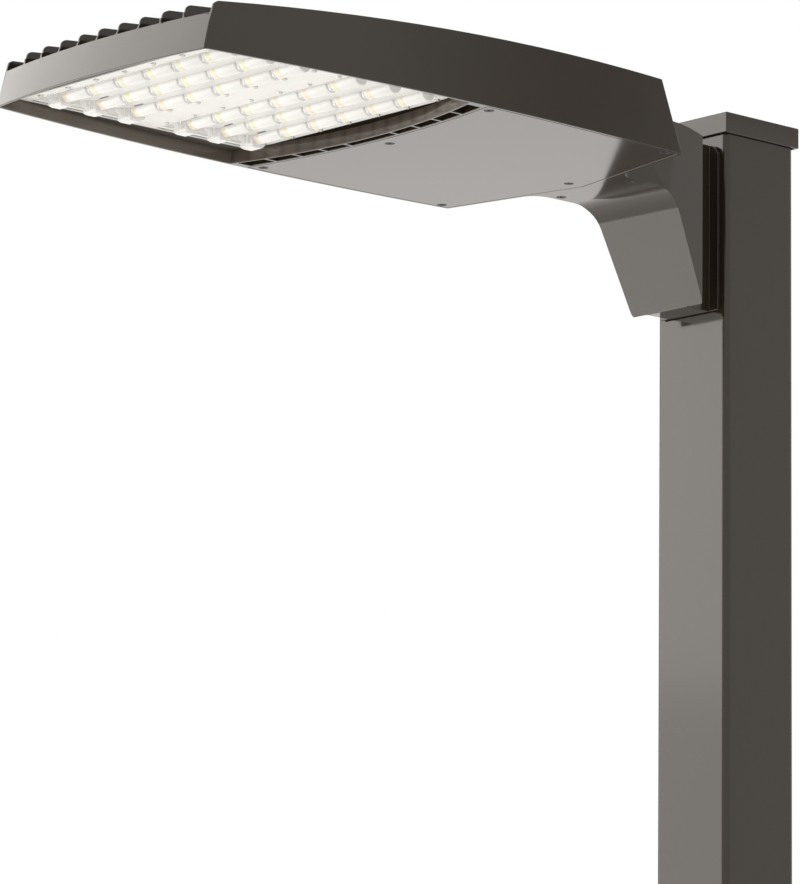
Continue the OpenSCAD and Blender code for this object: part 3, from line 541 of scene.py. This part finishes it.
@dataclass
class Workpiece:
    """One mesh object, shaped with edit-mode operators as by hand."""

    obj: bpy.types.Object

    @classmethod
    def added(cls, name: str) -> Workpiece:
        """Take hold of the primitive that was just added, its place put into its mesh."""
        obj = bpy.context.active_object
        obj.name = obj.data.name = name
        bpy.ops.object.transform_apply(location=True, rotation=True, scale=True)
        return cls(obj)

    @classmethod
    def block(cls, name: str, low: Point, high: Point) -> Workpiece:
        """A cube primitive between two corners."""
        deselect_all()
        middle = [(start + end) / 2 for start, end in zip(low, high)]
        size = [end - start for start, end in zip(low, high)]
        bpy.ops.mesh.primitive_cube_add(size=1.0, location=middle, scale=size)
        return cls.added(name)

    @classmethod
    def rod(cls, name: str, foot: Point, axis: Point, length: float, radius: float, sides: int) -> Workpiece:
        """A cylinder primitive.

        Args:
            name: The new object's name.
            foot: The middle of its first end.
            axis: The direction from there to the other end.
            length: Its length.
            radius: Its radius.
            sides: Its sides.

        Returns:
            The cylinder.
        """
        deselect_all()
        along = Vector(axis).normalized()
        bpy.ops.mesh.primitive_cylinder_add(
            vertices=sides,
            radius=radius,
            depth=length,
            location=Vector(foot) + along * length / 2,
            rotation=along.to_track_quat("Z", "Y").to_euler(),
        )
        return cls.added(name)

    @classmethod
    def copy_of(cls, name: str, source: bpy.types.Object) -> Workpiece:
        """A copy with its own mesh, riding on nothing yet."""
        obj = source.copy()
        obj.data = source.data.copy()
        obj.parent = None
        obj.name = obj.data.name = name
        for key in list(obj.keys()):
            if key.startswith("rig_"):
                del obj[key]
        bpy.context.scene.collection.objects.link(obj)
        return cls(obj)

    def activate(self) -> None:
        """Make this the only selected object."""
        deselect_all()
        self.obj.select_set(True)
        bpy.context.view_layer.objects.active = self.obj

    def pick(
        self,
        faces: Callable[[Vector, Vector], bool] | None = None,
        edges: Callable[[Vector, Vector], bool] | None = None,
    ) -> int:
        """Select faces by centre and normal, or edges by their two ends.

        Args:
            faces: Says of a face's centre and normal whether it is wanted.
            edges: Says of an edge's two ends whether it is wanted.

        Returns:
            How many were selected.
        """
        mesh = self.obj.data
        for items in (mesh.vertices, mesh.edges, mesh.polygons):
            items.foreach_set("select", [False] * len(items))
        if faces is not None:
            bpy.context.tool_settings.mesh_select_mode = (False, False, True)
            chosen = [face for face in mesh.polygons if faces(face.center, face.normal)]
        else:
            bpy.context.tool_settings.mesh_select_mode = (False, True, False)
            points = [corner.co for corner in mesh.vertices]
            chosen = [edge for edge in mesh.edges if edges(*(points[end] for end in edge.vertices))]
        for item in chosen:
            item.select = True
        return len(chosen)

    def edit(self, *steps: Callable[[], object]) -> Workpiece:
        """Run operators in edit mode on what is selected."""
        self.activate()
        bpy.ops.object.mode_set(mode="EDIT")
        for step in steps:
            step()
        bpy.ops.object.mode_set(mode="OBJECT")
        return self

    def modify(self, kind: str, **settings: object) -> Workpiece:
        """Add a modifier, set it and apply it.

        Args:
            kind: The modifier's type.
            **settings: Its properties.

        Returns:
            This piece.
        """
        self.activate()
        modifier = self.obj.modifiers.new(kind.lower(), kind)
        for key, value in settings.items():
            setattr(modifier, key, value)
        bpy.ops.object.modifier_apply(modifier=modifier.name)
        return self

    def move(self, step: Vector) -> Workpiece:
        """Shift the mesh, so that the object stays at the origin."""
        self.activate()
        bpy.ops.transform.translate(value=tuple(step))
        bpy.ops.object.transform_apply(location=True, rotation=False, scale=False)
        return self

    def join(self, others: Sequence[Workpiece]) -> Workpiece:
        """Take other pieces into this one."""
        self.activate()
        for other in others:
            other.obj.select_set(True)
        bpy.ops.object.join()
        return self

    def tidy(self, distance: float = 0.01 * MM) -> Workpiece:
        """Merge doubled points and turn every face outwards."""

        def merge() -> None:
            """The edit-mode steps."""
            bpy.ops.mesh.select_all(action="SELECT")
            bpy.ops.mesh.remove_doubles(threshold=distance)
            bpy.ops.mesh.normals_make_consistent(inside=False)

        return self.edit(merge)

    def smooth(self, degrees: float = 30.0) -> Workpiece:
        """Shade smooth, keeping edges sharper than the angle."""
        self.activate()
        bpy.ops.object.shade_smooth_by_angle(angle=math.radians(degrees))
        return self

    def hand_over(self, body: Body, finish: Finish, nodes: Sequence[str] = ()) -> None:
        """Dress the piece, let it ride on its body and stand for its nodes.

        Args:
            body: The body that it moves with.
            finish: Its finish.
            nodes: The nodes that it stands for.
        """
        self.obj.data.materials.clear()
        self.obj.data.materials.append(PAINTS.of(finish))
        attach(self.obj, body.value)
        if nodes:
            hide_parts(*nodes)
        LOG.info("%s: %d faces, rides on %s", self.obj.name, len(self.obj.data.polygons), body.value)


# Sub-assemblies
@dataclass(frozen=True)
class Zone:
    """A box, the same on both sides of the object, whose contents get one change."""

    low: Point
    high: Point

    def seen_from(self, origin: Point) -> Zone:
        """The zone in the frame, its own corners measured from an origin."""
        low, high = (tuple(a + b for a, b in zip(origin, corner)) for corner in (self.low, self.high))
        return Zone(low, high)

    def holds(self, point: Vector) -> bool:
        """Whether a point lies in it, X taken without its sign."""
        place = (abs(point.x), point.y, point.z)
        return all(low <= value <= high for low, value, high in zip(self.low, place, self.high))

    def spans(self, first: Vector, second: Vector) -> bool:
        """Whether both ends of an edge lie in it."""
        return self.holds(first) and self.holds(second)


@dataclass(frozen=True)
class Change:
    """One edit-mode operator on what lies in a zone."""

    zone: Zone

    def shape(self, work: Workpiece) -> None:
        """Pick what the change is for and run its operator on it."""
        found = self.pick(work)
        LOG.info("%s: %d picked for %s", work.obj.name, found, type(self).__name__)
        if found:
            work.edit(self.run)

    def pick(self, work: Workpiece) -> int:
        """Select the edges whose two ends lie in the zone."""
        return work.pick(edges=self.zone.spans)

    def run(self) -> None:
        """The operator, which every kind of change has of its own."""
        raise NotImplementedError


@dataclass(frozen=True)
class Merge(Change):
    """Points closer than a distance made one, so that small steps go away."""

    distance: float

    def run(self) -> None:
        """Merge the points."""
        bpy.ops.mesh.remove_doubles(threshold=self.distance)


@dataclass(frozen=True)
class Rounding(Change):
    """A larger round on the long upright edges."""

    width: float
    clamp: bool = True
    shortest: float = 25.0 * MM

    def pick(self, work: Workpiece) -> int:
        """Select the long upright edges whose two ends lie in the zone."""
        return work.pick(edges=self._upright)

    def _upright(self, first: Vector, second: Vector) -> bool:
        """Whether an edge in the zone is long and upright."""
        return self.zone.spans(first, second) and abs(first.z - second.z) > self.shortest

    def run(self) -> None:
        """Bevel the edges."""
        bpy.ops.mesh.bevel(offset=self.width, segments=5, affect="EDGES", clamp_overlap=self.clamp)


@dataclass(frozen=True)
class Shift(Change):
    """Edges moved."""

    step: Point

    def run(self) -> None:
        """Move what is picked."""
        bpy.ops.transform.translate(value=self.step)


@dataclass(frozen=True)
class Setback(Shift):
    """Faces that look away from the pole moved."""

    def pick(self, work: Workpiece) -> int:
        """Select the faces that look away from the pole and have their middle in the zone."""
        return work.pick(faces=lambda centre, normal: self.zone.holds(centre) and normal.y < -SQUARE)


@dataclass(frozen=True)
class EasedNode:
    """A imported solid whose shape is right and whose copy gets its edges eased."""

    node: str
    piece: str
    finish: Finish
    ease: float
    body: Body = Body.LIGHT
    sharp: float = 28.0
    flat: float = 0.4
    crease: float = 50.0
    doubled: float = 0.002 * MM

    def build(self, nodes: dict[str, bpy.types.Object]) -> None:
        """Copy the node, ease its edges, shade its rounds smooth and paint it.

        Args:
            nodes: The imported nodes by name.
        """
        work = Workpiece.copy_of(self.piece, nodes[self.node])

        def clean() -> None:
            """Merge the loose triangles and join the flat ones."""
            bpy.ops.mesh.select_all(action="SELECT")
            bpy.ops.mesh.remove_doubles(threshold=self.doubled)
            bpy.ops.mesh.dissolve_limited(angle_limit=math.radians(self.flat))

        work.edit(clean)
        self.prepare(work)
        work.modify(
            "BEVEL",
            width=self.ease,
            segments=2,
            limit_method="ANGLE",
            angle_limit=math.radians(self.sharp),
            use_clamp_overlap=False,
            miter_outer="MITER_ARC",
        )
        self.mend(work)
        work.smooth(self.crease)
        work.modify("WEIGHTED_NORMAL", keep_sharp=True, weight=50)
        work.hand_over(self.body, self.finish, [self.node])

    def prepare(self, work: Workpiece) -> None:
        """Change the shape before the easing; most nodes need nothing."""

    def mend(self, work: Workpiece) -> None:
        """Mend the shape after the easing; most nodes need nothing."""


@dataclass(frozen=True)
class Casting(EasedNode):
    """The head with its arm and neck, whose steps and corners want more than easing.

    The zones down to front_edges are measured from the front end of the lip's underside, on the
    head's middle, and the others from the top of the neck's back end.
    """

    lip: float = 111.0 * MM
    fin_reach: float = 150.0 * MM
    fin_foot: float = 39.3 * MM
    fin_lifts: tuple[Pair, ...] = (
        (56.8 * MM, 3.0 * MM),
        (100.8 * MM, 2.4 * MM),
        (156.8 * MM, 1.6 * MM),
        (211.8 * MM, 0.8 * MM),
    )
    fin_corners: Zone = Zone((0.0, 0.0, 37.3 * MM), (130.0 * MM, 36.0 * MM, 60.0 * MM))
    head_corners: Zone = Zone((150.0 * MM, 20.0 * MM, 43.3 * MM), (162.0 * MM, 31.0 * MM, 50.0 * MM))
    corner_step: float = 0.95 * MM
    front_edges: Zone = Zone((155.0 * MM, 0.0, 0.0), (160.0 * MM, 30.0 * MM, 50.0 * MM))
    front_round: float = 3.2 * MM
    neck_top: Zone = Zone((60.5 * MM, -189.2 * MM, -1.6 * MM), (61.5 * MM, -188.2 * MM, 0.0))
    neck_step: float = 0.3 * MM
    arm_edges: Zone = Zone((51.0 * MM, -33.2 * MM, -190.0 * MM), (54.0 * MM, -31.2 * MM, 0.0))
    arm_round: float = 3.0 * MM
    end_plate: Zone = Zone((31.0 * MM, -9.7 * MM, -190.0 * MM), (45.0 * MM, -8.2 * MM, 0.0))
    groove: float = 8.0 * MM
    thrown_edge: Zone = Zone((73.5 * MM, -193.2 * MM, -0.8 * MM), (81.5 * MM, -190.7 * MM, 0.0))
    thrown_back: Point = (0.0, 0.27 * MM, -0.8 * MM)

    def prepare(self, work: Workpiece) -> None:
        """Lift the fins' front ends, close small steps, round four edges and deepen the groove."""
        low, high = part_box(self.node)
        front, back = (0.0, low[1], low[2] + self.lip), (0.0, high[1], high[2])
        start, foot = low[1], front[2] + self.fin_foot
        for length, rise in self.fin_lifts:
            end = low[1] + length
            Shift(Zone((0.0, start, foot), (self.fin_reach, end, high[2])), (0.0, 0.0, rise)).shape(work)
            start = end
        Merge(self.fin_corners.seen_from(front), self.corner_step).shape(work)
        Merge(self.head_corners.seen_from(front), self.corner_step).shape(work)
        Merge(self.neck_top.seen_from(back), self.neck_step).shape(work)
        Rounding(self.front_edges.seen_from(front), self.front_round, clamp=False).shape(work)
        Rounding(self.arm_edges.seen_from(back), self.arm_round).shape(work)
        Setback(self.end_plate.seen_from(back), (0.0, self.groove, 0.0)).shape(work)

    def mend(self, work: Workpiece) -> None:
        """Put back the edge that the easing throws above the head's rear face, by the neck."""
        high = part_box(self.node)[1]
        Shift(self.thrown_edge.seen_from((0.0, high[1], high[2])), self.thrown_back).shape(work)


@dataclass
class LightEngine:
    """Two clear lens plates, each with rows of optics over its lamps."""

    columns: int = 6
    rows: int = 3
    pitch: float = 43.0 * MM
    plate_thick: float = 2.5 * MM
    plate_step: Pair = (4.0 * MM, 1.0 * MM)
    plate_ease: float = 0.4 * MM
    bar_length: float = 36.0 * MM
    bar_radius: float = 8.0 * MM
    bar_start: float = -5.0 * MM
    bar_sides: int = 28
    bar_dome: Pair = (1.6 * MM, 0.7 * MM)
    bar_ease: float = 0.35 * MM
    block: Point = (17.0 * MM, 16.0 * MM, 8.4 * MM)
    block_gap: float = 0.4 * MM
    block_ease: float = 0.25 * MM
    roof_inset: float = 2.6 * MM
    roof_drop: float = 2.2 * MM
    flare: float = 3.2 * MM
    fan_top: float = 10.5 * MM
    fan_foot: float = 3.4 * MM
    fan_depth: float = 7.0 * MM
    fan_pinch: float = 0.5
    fan_sides: int = 20
    fan_gap: float = 0.5 * MM
    collar: Point = (5.6 * MM, 14.0 * MM, 6.4 * MM)
    collar_gap: float = 0.5 * MM
    collar_taper: Point = (0.45, 0.7, 1.0)
    collar_ease: float = 0.6 * MM
    # size of the black sheet painted as shade in each slot
    slot: Point = (13.0 * MM, 1.9 * MM, 0.5 * MM)
    slot_gap: float = 3.0 * MM

    def build(self) -> None:
        """Build both halves."""
        ends, others = range(1), range(1, self.columns)
        for half in ("front", "rear"):
            low, high = (Vector(corner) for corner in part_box(f"lens_{half}"))
            middle = Vector(((low.x + high.x) / 2, (low.y + high.y) / 2, high.z - self.plate_thick))
            self._plate(half, low, high)
            self._repeat(f"optic_bars_{half}", self._bar, self._lamps(middle, range(self.columns)), LAMP_BAR)
            self._repeat(f"optic_collars_{half}", self._collar, self._lamps(middle, others), PRISM)
            self._repeat(f"optic_prisms_{half}", self._prism, self._lamps(middle, ends), PRISM)
            # black sheets as painted shade where the slots beside the end bars look dark
            self._repeat(f"optic_slots_{half}", self._slot, self._lamps(middle, ends), GEAR_BLACK)

    def _lamps(self, middle: Vector, columns: range) -> list[Vector]:
        """The place of each lamp of some columns on the plate's underside.

        Args:
            middle: The middle of the plate's underside.
            columns: The columns, counted from the -X end.

        Returns:
            One point for each lamp.
        """
        across = [(column - (self.columns - 1) / 2) * self.pitch for column in columns]
        ahead = [(row - (self.rows - 1) / 2) * self.pitch for row in range(self.rows)]
        return [middle + Vector((x, y, 0.0)) for x in across for y in ahead]

    def _repeat(
        self,
        name: str,
        make: Callable[[str, Vector], Workpiece],
        places: list[Vector],
        finish: Finish,
    ) -> None:
        """Model one piece at the first lamp, copy it to the others and join them.

        Args:
            name: The joined piece's name.
            make: Models one piece at a lamp's place.
            places: The lamps' places.
            finish: The finish of them all.
        """
        first = make(name, places[0])
        copies = []
        for number, place in enumerate(places[1:]):
            copy = Workpiece.copy_of(f"{name}_{number}", first.obj)
            copy.move(place - places[0])
            copies.append(copy)
        first.join(copies)
        first.hand_over(Body.LIGHT, finish)

    @staticmethod
    def _ease(piece: Workpiece, width: float, degrees: float, segments: int = 2) -> None:
        """Bevel the edges of a piece that are sharper than an angle."""
        angle = math.radians(degrees)
        piece.modify("BEVEL", width=width, segments=segments, limit_method="ANGLE", angle_limit=angle)

    def _plate(self, half: str, low: Vector, high: Vector) -> None:
        """The flat plate with its edges eased and a shallow step along them.

        Args:
            half: Front or rear.
            low: The node's lowest corner.
            high: The node's highest corner.
        """
        inset, step = self.plate_step
        corner = (low.x, low.y, high.z - self.plate_thick + step)
        plate = Workpiece.block(f"lens_plate_{half}", corner, tuple(high))
        plate.pick(faces=lambda _centre, normal: normal.z < -SQUARE)
        plate.edit(lambda: bpy.ops.mesh.inset(thickness=inset, depth=step))
        self._ease(plate, self.plate_ease, 20.0)
        plate.smooth(30.0)
        plate.hand_over(Body.LIGHT, OPTIC, [f"lens_{half}"])

    def _bar(self, name: str, lamp: Vector) -> Workpiece:
        """A half-round bar, flat on the plate, with domed ends.

        Args:
            name: Its name.
            lamp: The lamp's place.

        Returns:
            The bar.
        """
        foot, along = tuple(lamp + Vector((self.bar_start, 0.0, 0.0))), (1.0, 0.0, 0.0)
        bar = Workpiece.rod(name, foot, along, self.bar_length, self.bar_radius, self.bar_sides)

        def halve() -> None:
            """Keep the half under the plate and close it."""
            up = (0.0, 0.0, 1.0)
            bpy.ops.mesh.select_all(action="SELECT")
            bpy.ops.mesh.bisect(plane_co=tuple(lamp), plane_no=up, use_fill=True, clear_outer=True)

        bar.edit(halve)
        inset, rise = self.bar_dome
        bar.pick(faces=lambda _centre, normal: abs(normal.x) > SQUARE)
        bar.edit(lambda: bpy.ops.mesh.inset(thickness=inset, depth=rise))
        self._ease(bar, self.bar_ease, 35.0)
        return bar.tidy().smooth(40.0)

    def _collar(self, name: str, lamp: Vector) -> Workpiece:
        """The low clear block in the gap between two bars of a row.

        Args:
            name: Its name.
            lamp: The lamp that it leads up to.

        Returns:
            The block.
        """
        length, width, height = self.collar
        end = lamp.x + self.bar_start - self.collar_gap
        corner = (end - length, lamp.y - width / 2, lamp.z - height)
        collar = Workpiece.block(name, corner, (end, lamp.y + width / 2, lamp.z))
        collar.pick(faces=lambda _centre, normal: normal.z < -SQUARE)
        collar.edit(lambda: bpy.ops.transform.resize(value=self.collar_taper))
        self._ease(collar, self.collar_ease, 25.0)
        return collar.smooth(30.0)

    def _prism(self, name: str, lamp: Vector) -> Workpiece:
        """The clear block beside a lamp, with a flared foot and a pleated fan over it.

        Args:
            name: Its name.
            lamp: The lamp's place.

        Returns:
            The block and its fan as one piece.
        """
        length, width, height = self.block
        end = lamp + Vector((self.bar_start - self.block_gap, 0.0, 0.0))
        corner = (end.x - length, end.y - width / 2, end.z - height)
        block = Workpiece.block(name, corner, (end.x, end.y + width / 2, end.z))
        block.pick(faces=lambda _centre, normal: normal.z < -SQUARE)
        block.edit(lambda: bpy.ops.mesh.inset(thickness=self.roof_inset, depth=self.roof_drop))
        far = end.x - length + self.roof_inset

        def at_the_far_foot(first: Vector, second: Vector) -> bool:
            """Whether an edge lies low on the block, on the side away from the bar."""
            return max(first.x, second.x) < far + 0.1 * MM and max(first.z, second.z) < end.z - height * 0.9

        block.pick(edges=at_the_far_foot)
        block.edit(lambda: bpy.ops.transform.translate(value=(-self.flare, 0.0, 0.0)))
        fan_place = Vector((end.x - length / 2, end.y - width / 2 - self.fan_gap, end.z))
        block.join([self._fan(f"{name}_fan", fan_place)])
        self._ease(block, self.block_ease, 25.0, segments=1)
        return block.smooth(20.0)

    def _fan(self, name: str, top: Vector) -> Workpiece:
        """A pleated cone, wide at the plate.

        Args:
            name: Its name.
            top: The middle of its wide end.

        Returns:
            The fan.
        """
        deselect_all()
        centre = top - Vector((0.0, 0.0, self.fan_depth / 2))
        bpy.ops.mesh.primitive_cone_add(
            vertices=self.fan_sides,
            radius1=self.fan_foot,
            radius2=self.fan_top,
            depth=self.fan_depth,
            location=centre,
        )
        fan = Workpiece.added(name)
        step = 2.0 * math.pi / self.fan_sides

        def in_a_pleat(first: Vector, second: Vector) -> bool:
            """Whether an edge runs from end to end at an odd corner."""
            turn = math.atan2(first.y - top.y, first.x - top.x) / step
            return abs(first.z - second.z) > self.fan_depth * 0.9 and round(turn) % 2 == 1

        fan.pick(edges=in_a_pleat)
        pinch = (self.fan_pinch, self.fan_pinch, 1.0)
        fan.edit(lambda: bpy.ops.transform.resize(value=pinch, center_override=tuple(centre)))
        return fan

    def _slot(self, name: str, lamp: Vector) -> Workpiece:
        """A black sheet with round ends beside a bar, painted shade for a slot's dark opening.

        Args:
            name: Its name.
            lamp: The lamp's place.

        Returns:
            The black sheet that stands in for the slot's shade.
        """
        length, width, depth = self.slot
        near = lamp + Vector((-self.bar_start, -self.bar_radius - self.slot_gap, 0.0))
        low = (near.x, near.y - width / 2, near.z - depth / 2)
        slot = Workpiece.block(name, low, (near.x + length, near.y + width / 2, near.z + depth / 2))
        slot.pick(edges=lambda first, second: abs(first.z - second.z) > depth / 2)
        slot.edit(lambda: bpy.ops.mesh.bevel(offset=width * 0.45, segments=4, affect="EDGES"))
        return slot.smooth(40.0)


@dataclass
class PlainNodes:
    """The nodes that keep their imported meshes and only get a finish."""

    finishes: dict[str, Finish]

    def build(self, nodes: dict[str, bpy.types.Object]) -> None:
        """Give each node its finish.

        Args:
            nodes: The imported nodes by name.
        """
        for name, finish in self.finishes.items():
            node = nodes[name]
            node.data.materials.clear()
            node.data.materials.append(PAINTS.of(finish))
            LOG.info("%s: %s", name, finish.name)


# Studio
@dataclass(frozen=True)
class SoftBox:
    """A rectangular light that the camera does not see, level and aimed at the head's near side."""

    name: str
    place: Point
    size: Pair
    power: float
    facing: Point = (0.798, 0.603, 0.0)
    colour: Colour = (1.0, 0.972, 0.935)

    def build(self) -> None:
        """Place the light."""
        data = bpy.data.lights.new(self.name, "AREA")
        data.shape = "RECTANGLE"
        data.size, data.size_y = self.size
        data.energy = self.power
        data.color = self.colour
        light = bpy.data.objects.new(self.name, data)
        light.location = self.place
        light.rotation_euler = Vector(self.facing).to_track_quat("-Z", "Y").to_euler()
        light.visible_camera = False
        bpy.context.scene.collection.objects.link(light)


@dataclass
class Studio:
    """Camera, lights, floor and backdrop."""

    eye: Point = (3.60618, -3.68016, -0.40243)
    azimuth: float = 48.202
    elevation: float = -10.2
    roll: float = 0.735
    lens: float = 203.62
    floor_z: float = -0.5
    floor_half: float = 14.0
    clip_end: float = 60.0
    floor_tone: float = 0.86
    floor_glow: float = 0.6
    floor_mirror: float = 0.98
    mirror_lift: float = 0.35
    world_level: float = 0.75
    dim_share: float = 0.55
    dim_right: Pair = (0.3, 0.6)
    dim_ahead: Pair = (0.50, 0.72)
    dim_above: Pair = (0.20, 0.34)
    warm: Colour = (1.0, 0.975, 0.945)
    boxes: tuple[SoftBox, ...] = (
        SoftBox("upper softbox", (-1.90, -2.10, 1.81), (2.6, 2.38), 62.0),
        SoftBox("lower softbox", (-1.98, -2.00, 0.31), (2.3, 0.62), 10.0),
        SoftBox("fill board", (-1.64, -1.74, -0.245), (2.3, 0.98), 13.2, (0.402, 0.304, 0.864)),
    )

    def build(self) -> None:
        """Set up the whole studio."""
        self._camera()
        self._world()
        self._floor()
        for box in self.boxes:
            box.build()
        bpy.context.scene.view_settings.view_transform = "Standard"

    def _camera(self) -> None:
        """Place the camera where the photograph was taken from."""
        turn, rise, roll = (math.radians(angle) for angle in (self.azimuth, self.elevation, self.roll))
        level = Vector((math.cos(turn), math.sin(turn), 0.0))
        ahead = Vector((-math.sin(turn) * math.cos(rise), math.cos(turn) * math.cos(rise), -math.sin(rise)))
        above = level.cross(ahead)
        right = level * math.cos(roll) + above * math.sin(roll)
        up = above * math.cos(roll) - level * math.sin(roll)
        data = bpy.data.cameras.new("camera")
        data.lens = self.lens
        data.clip_end = self.clip_end
        camera = bpy.data.objects.new("camera", data)
        camera.matrix_world = Matrix((right, up, -ahead)).transposed().to_4x4()
        camera.location = self.eye
        bpy.context.scene.collection.objects.link(camera)
        bpy.context.scene.camera = camera

    def _tone(self, bench: NodeBench, camera: Wire) -> bpy.types.NodeSocket:
        """White where the camera looks, a little warm for reflections and light."""
        return bench.mix(camera, rgba(self.warm), rgba((1.0, 1.0, 1.0)))

    def _world(self) -> None:
        """A white surrounding that lights at a plain level, dimmer to the upper right rear."""
        world = bpy.data.worlds.new("studio")
        bpy.context.scene.world = world
        bench = NodeBench(world)
        path = bench.add("ShaderNodeLightPath")
        camera = bench.wire(path, "Is Camera Ray")
        mirrored, passed = bench.wire(path, "Is Glossy Ray"), bench.wire(path, "Is Transmission Ray")
        seen = camera.larger(mirrored).larger(passed)
        way = bench.add("ShaderNodeTexCoord").outputs["Generated"]
        parts = bench.add("ShaderNodeSeparateXYZ", inputs={0: way})
        right, ahead, above = (bench.wire(parts, axis) for axis in range(3))
        dim = right.between(*self.dim_right) * ahead.between(*self.dim_ahead) * above.between(*self.dim_above)
        level = self.world_level + (1.0 - self.world_level) * seen
        level = level * (1.0 - self.dim_share * (dim * (1.0 - camera)))
        colour = self._tone(bench, camera)
        sky = bench.add("ShaderNodeBackground", inputs={"Color": colour, "Strength": level})
        bench.add("ShaderNodeOutputWorld", inputs={"Surface": sky.outputs[0]})

    def _floor(self) -> None:
        """A pale floor that shows near white and keeps a soft shadow."""
        deselect_all()
        bpy.ops.mesh.primitive_plane_add(size=2 * self.floor_half, location=(0.0, 0.0, self.floor_z))
        floor = bpy.context.active_object
        floor.name = "floor"
        material = bpy.data.materials.new("pale floor")
        bench = NodeBench(material)
        path = bench.add("ShaderNodeLightPath")
        camera, glossy = bench.wire(path, "Is Camera Ray"), bench.wire(path, "Is Glossy Ray")
        matt = bench.add("ShaderNodeBsdfDiffuse", inputs={"Color": tinted((1.0, 1.0, 1.0), self.floor_tone)})
        strength = 1.0 + self.mirror_lift * glossy
        colour = self._tone(bench, camera)
        glow = bench.add("ShaderNodeEmission", inputs={"Color": colour, "Strength": strength})
        share = self.floor_glow * camera + self.floor_mirror * glossy
        both = bench.add("ShaderNodeMixShader", inputs={0: share, 1: matt.outputs[0], 2: glow.outputs[0]})
        bench.finish(both.outputs[0])
        floor.data.materials.append(material)


def eased_nodes() -> list[EasedNode]:
    """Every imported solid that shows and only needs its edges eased."""
    return [
        Casting("housing", "casting", CASTING, 0.7 * MM),
        EasedNode("pole", "pole_section", POLE_PAINT, 0.4 * MM),
        EasedNode("pole_cap", "cap", BRONZE, 1.1 * MM, body=Body.CAP),
        EasedNode("door", "gear_door", BRONZE, 0.5 * MM, body=Body.DOOR),
        EasedNode("door_screws", "door_socket_screws", DARK_STEEL, 0.25 * MM, body=Body.DOOR),
        EasedNode("arm_screws", "arm_socket_screws", DARK_STEEL, 0.25 * MM),
        EasedNode("lens_screws", "lens_plate_screws", ZINC, 0.15 * MM),
        EasedNode("mount_gasket", "pole_pad", BLACK_RUBBER, 0.3 * MM),
        EasedNode("mount_bolts", "pole_bolts", ZINC, 0.3 * MM),
        EasedNode("mount_washers", "pole_washers", ZINC, 0.25 * MM),
        EasedNode("mount_nuts", "pole_nuts", ZINC, 0.3 * MM),
        EasedNode("nut_plate", "backing_plate", ZINC, 0.4 * MM),
        EasedNode("wire_bushing", "bushing", BLACK_RUBBER, 0.3 * MM),
        EasedNode("wire_clamp", "lead_clamp", ZINC, 0.4 * MM),
        EasedNode("driver", "driver_case", DRIVER_CASE, 0.5 * MM),
        EasedNode("surge_protector", "surge_block", GEAR_BLACK, 0.5 * MM),
        EasedNode("terminal_block", "terminals", GEAR_BLACK, 0.4 * MM),
    ]


def plain_finishes() -> dict[str, Finish]:
    """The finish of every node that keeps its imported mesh."""
    return {
        "lens_bezel": BEZEL_PAINT,
        "board_front": BOARD_WHITE,
        "board_rear": BOARD_WHITE,
        "leds_front": PHOSPHOR,
        "leds_rear": PHOSPHOR,
        "lens_gasket_front": SILICONE,
        "lens_gasket_rear": SILICONE,
        "board_jumper": BOARD_WHITE,
        "door_gasket": BLACK_RUBBER,
        "driver_screws": ZINC,
        "surge_screws": ZINC,
        "terminal_screws": ZINC,
        "ground_screw": LEAD_GREEN,
        "led_lead": LEAD_RED,
        "driver_lead": BLACK_RUBBER,
        "surge_lead": BLACK_RUBBER,
        "ground_lead": LEAD_GREEN,
        "lead_grommet": BLACK_RUBBER,
    }


def main() -> None:
    """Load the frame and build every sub-assembly."""
    logging.basicConfig(level=logging.INFO, format="%(name)s: %(message)s")
    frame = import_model()
    for part in eased_nodes():
        part.build(frame["nodes"])
    LightEngine().build()
    PlainNodes(plain_finishes()).build(frame["nodes"])
    Studio().build()


if __name__ == "__main__":
    main()
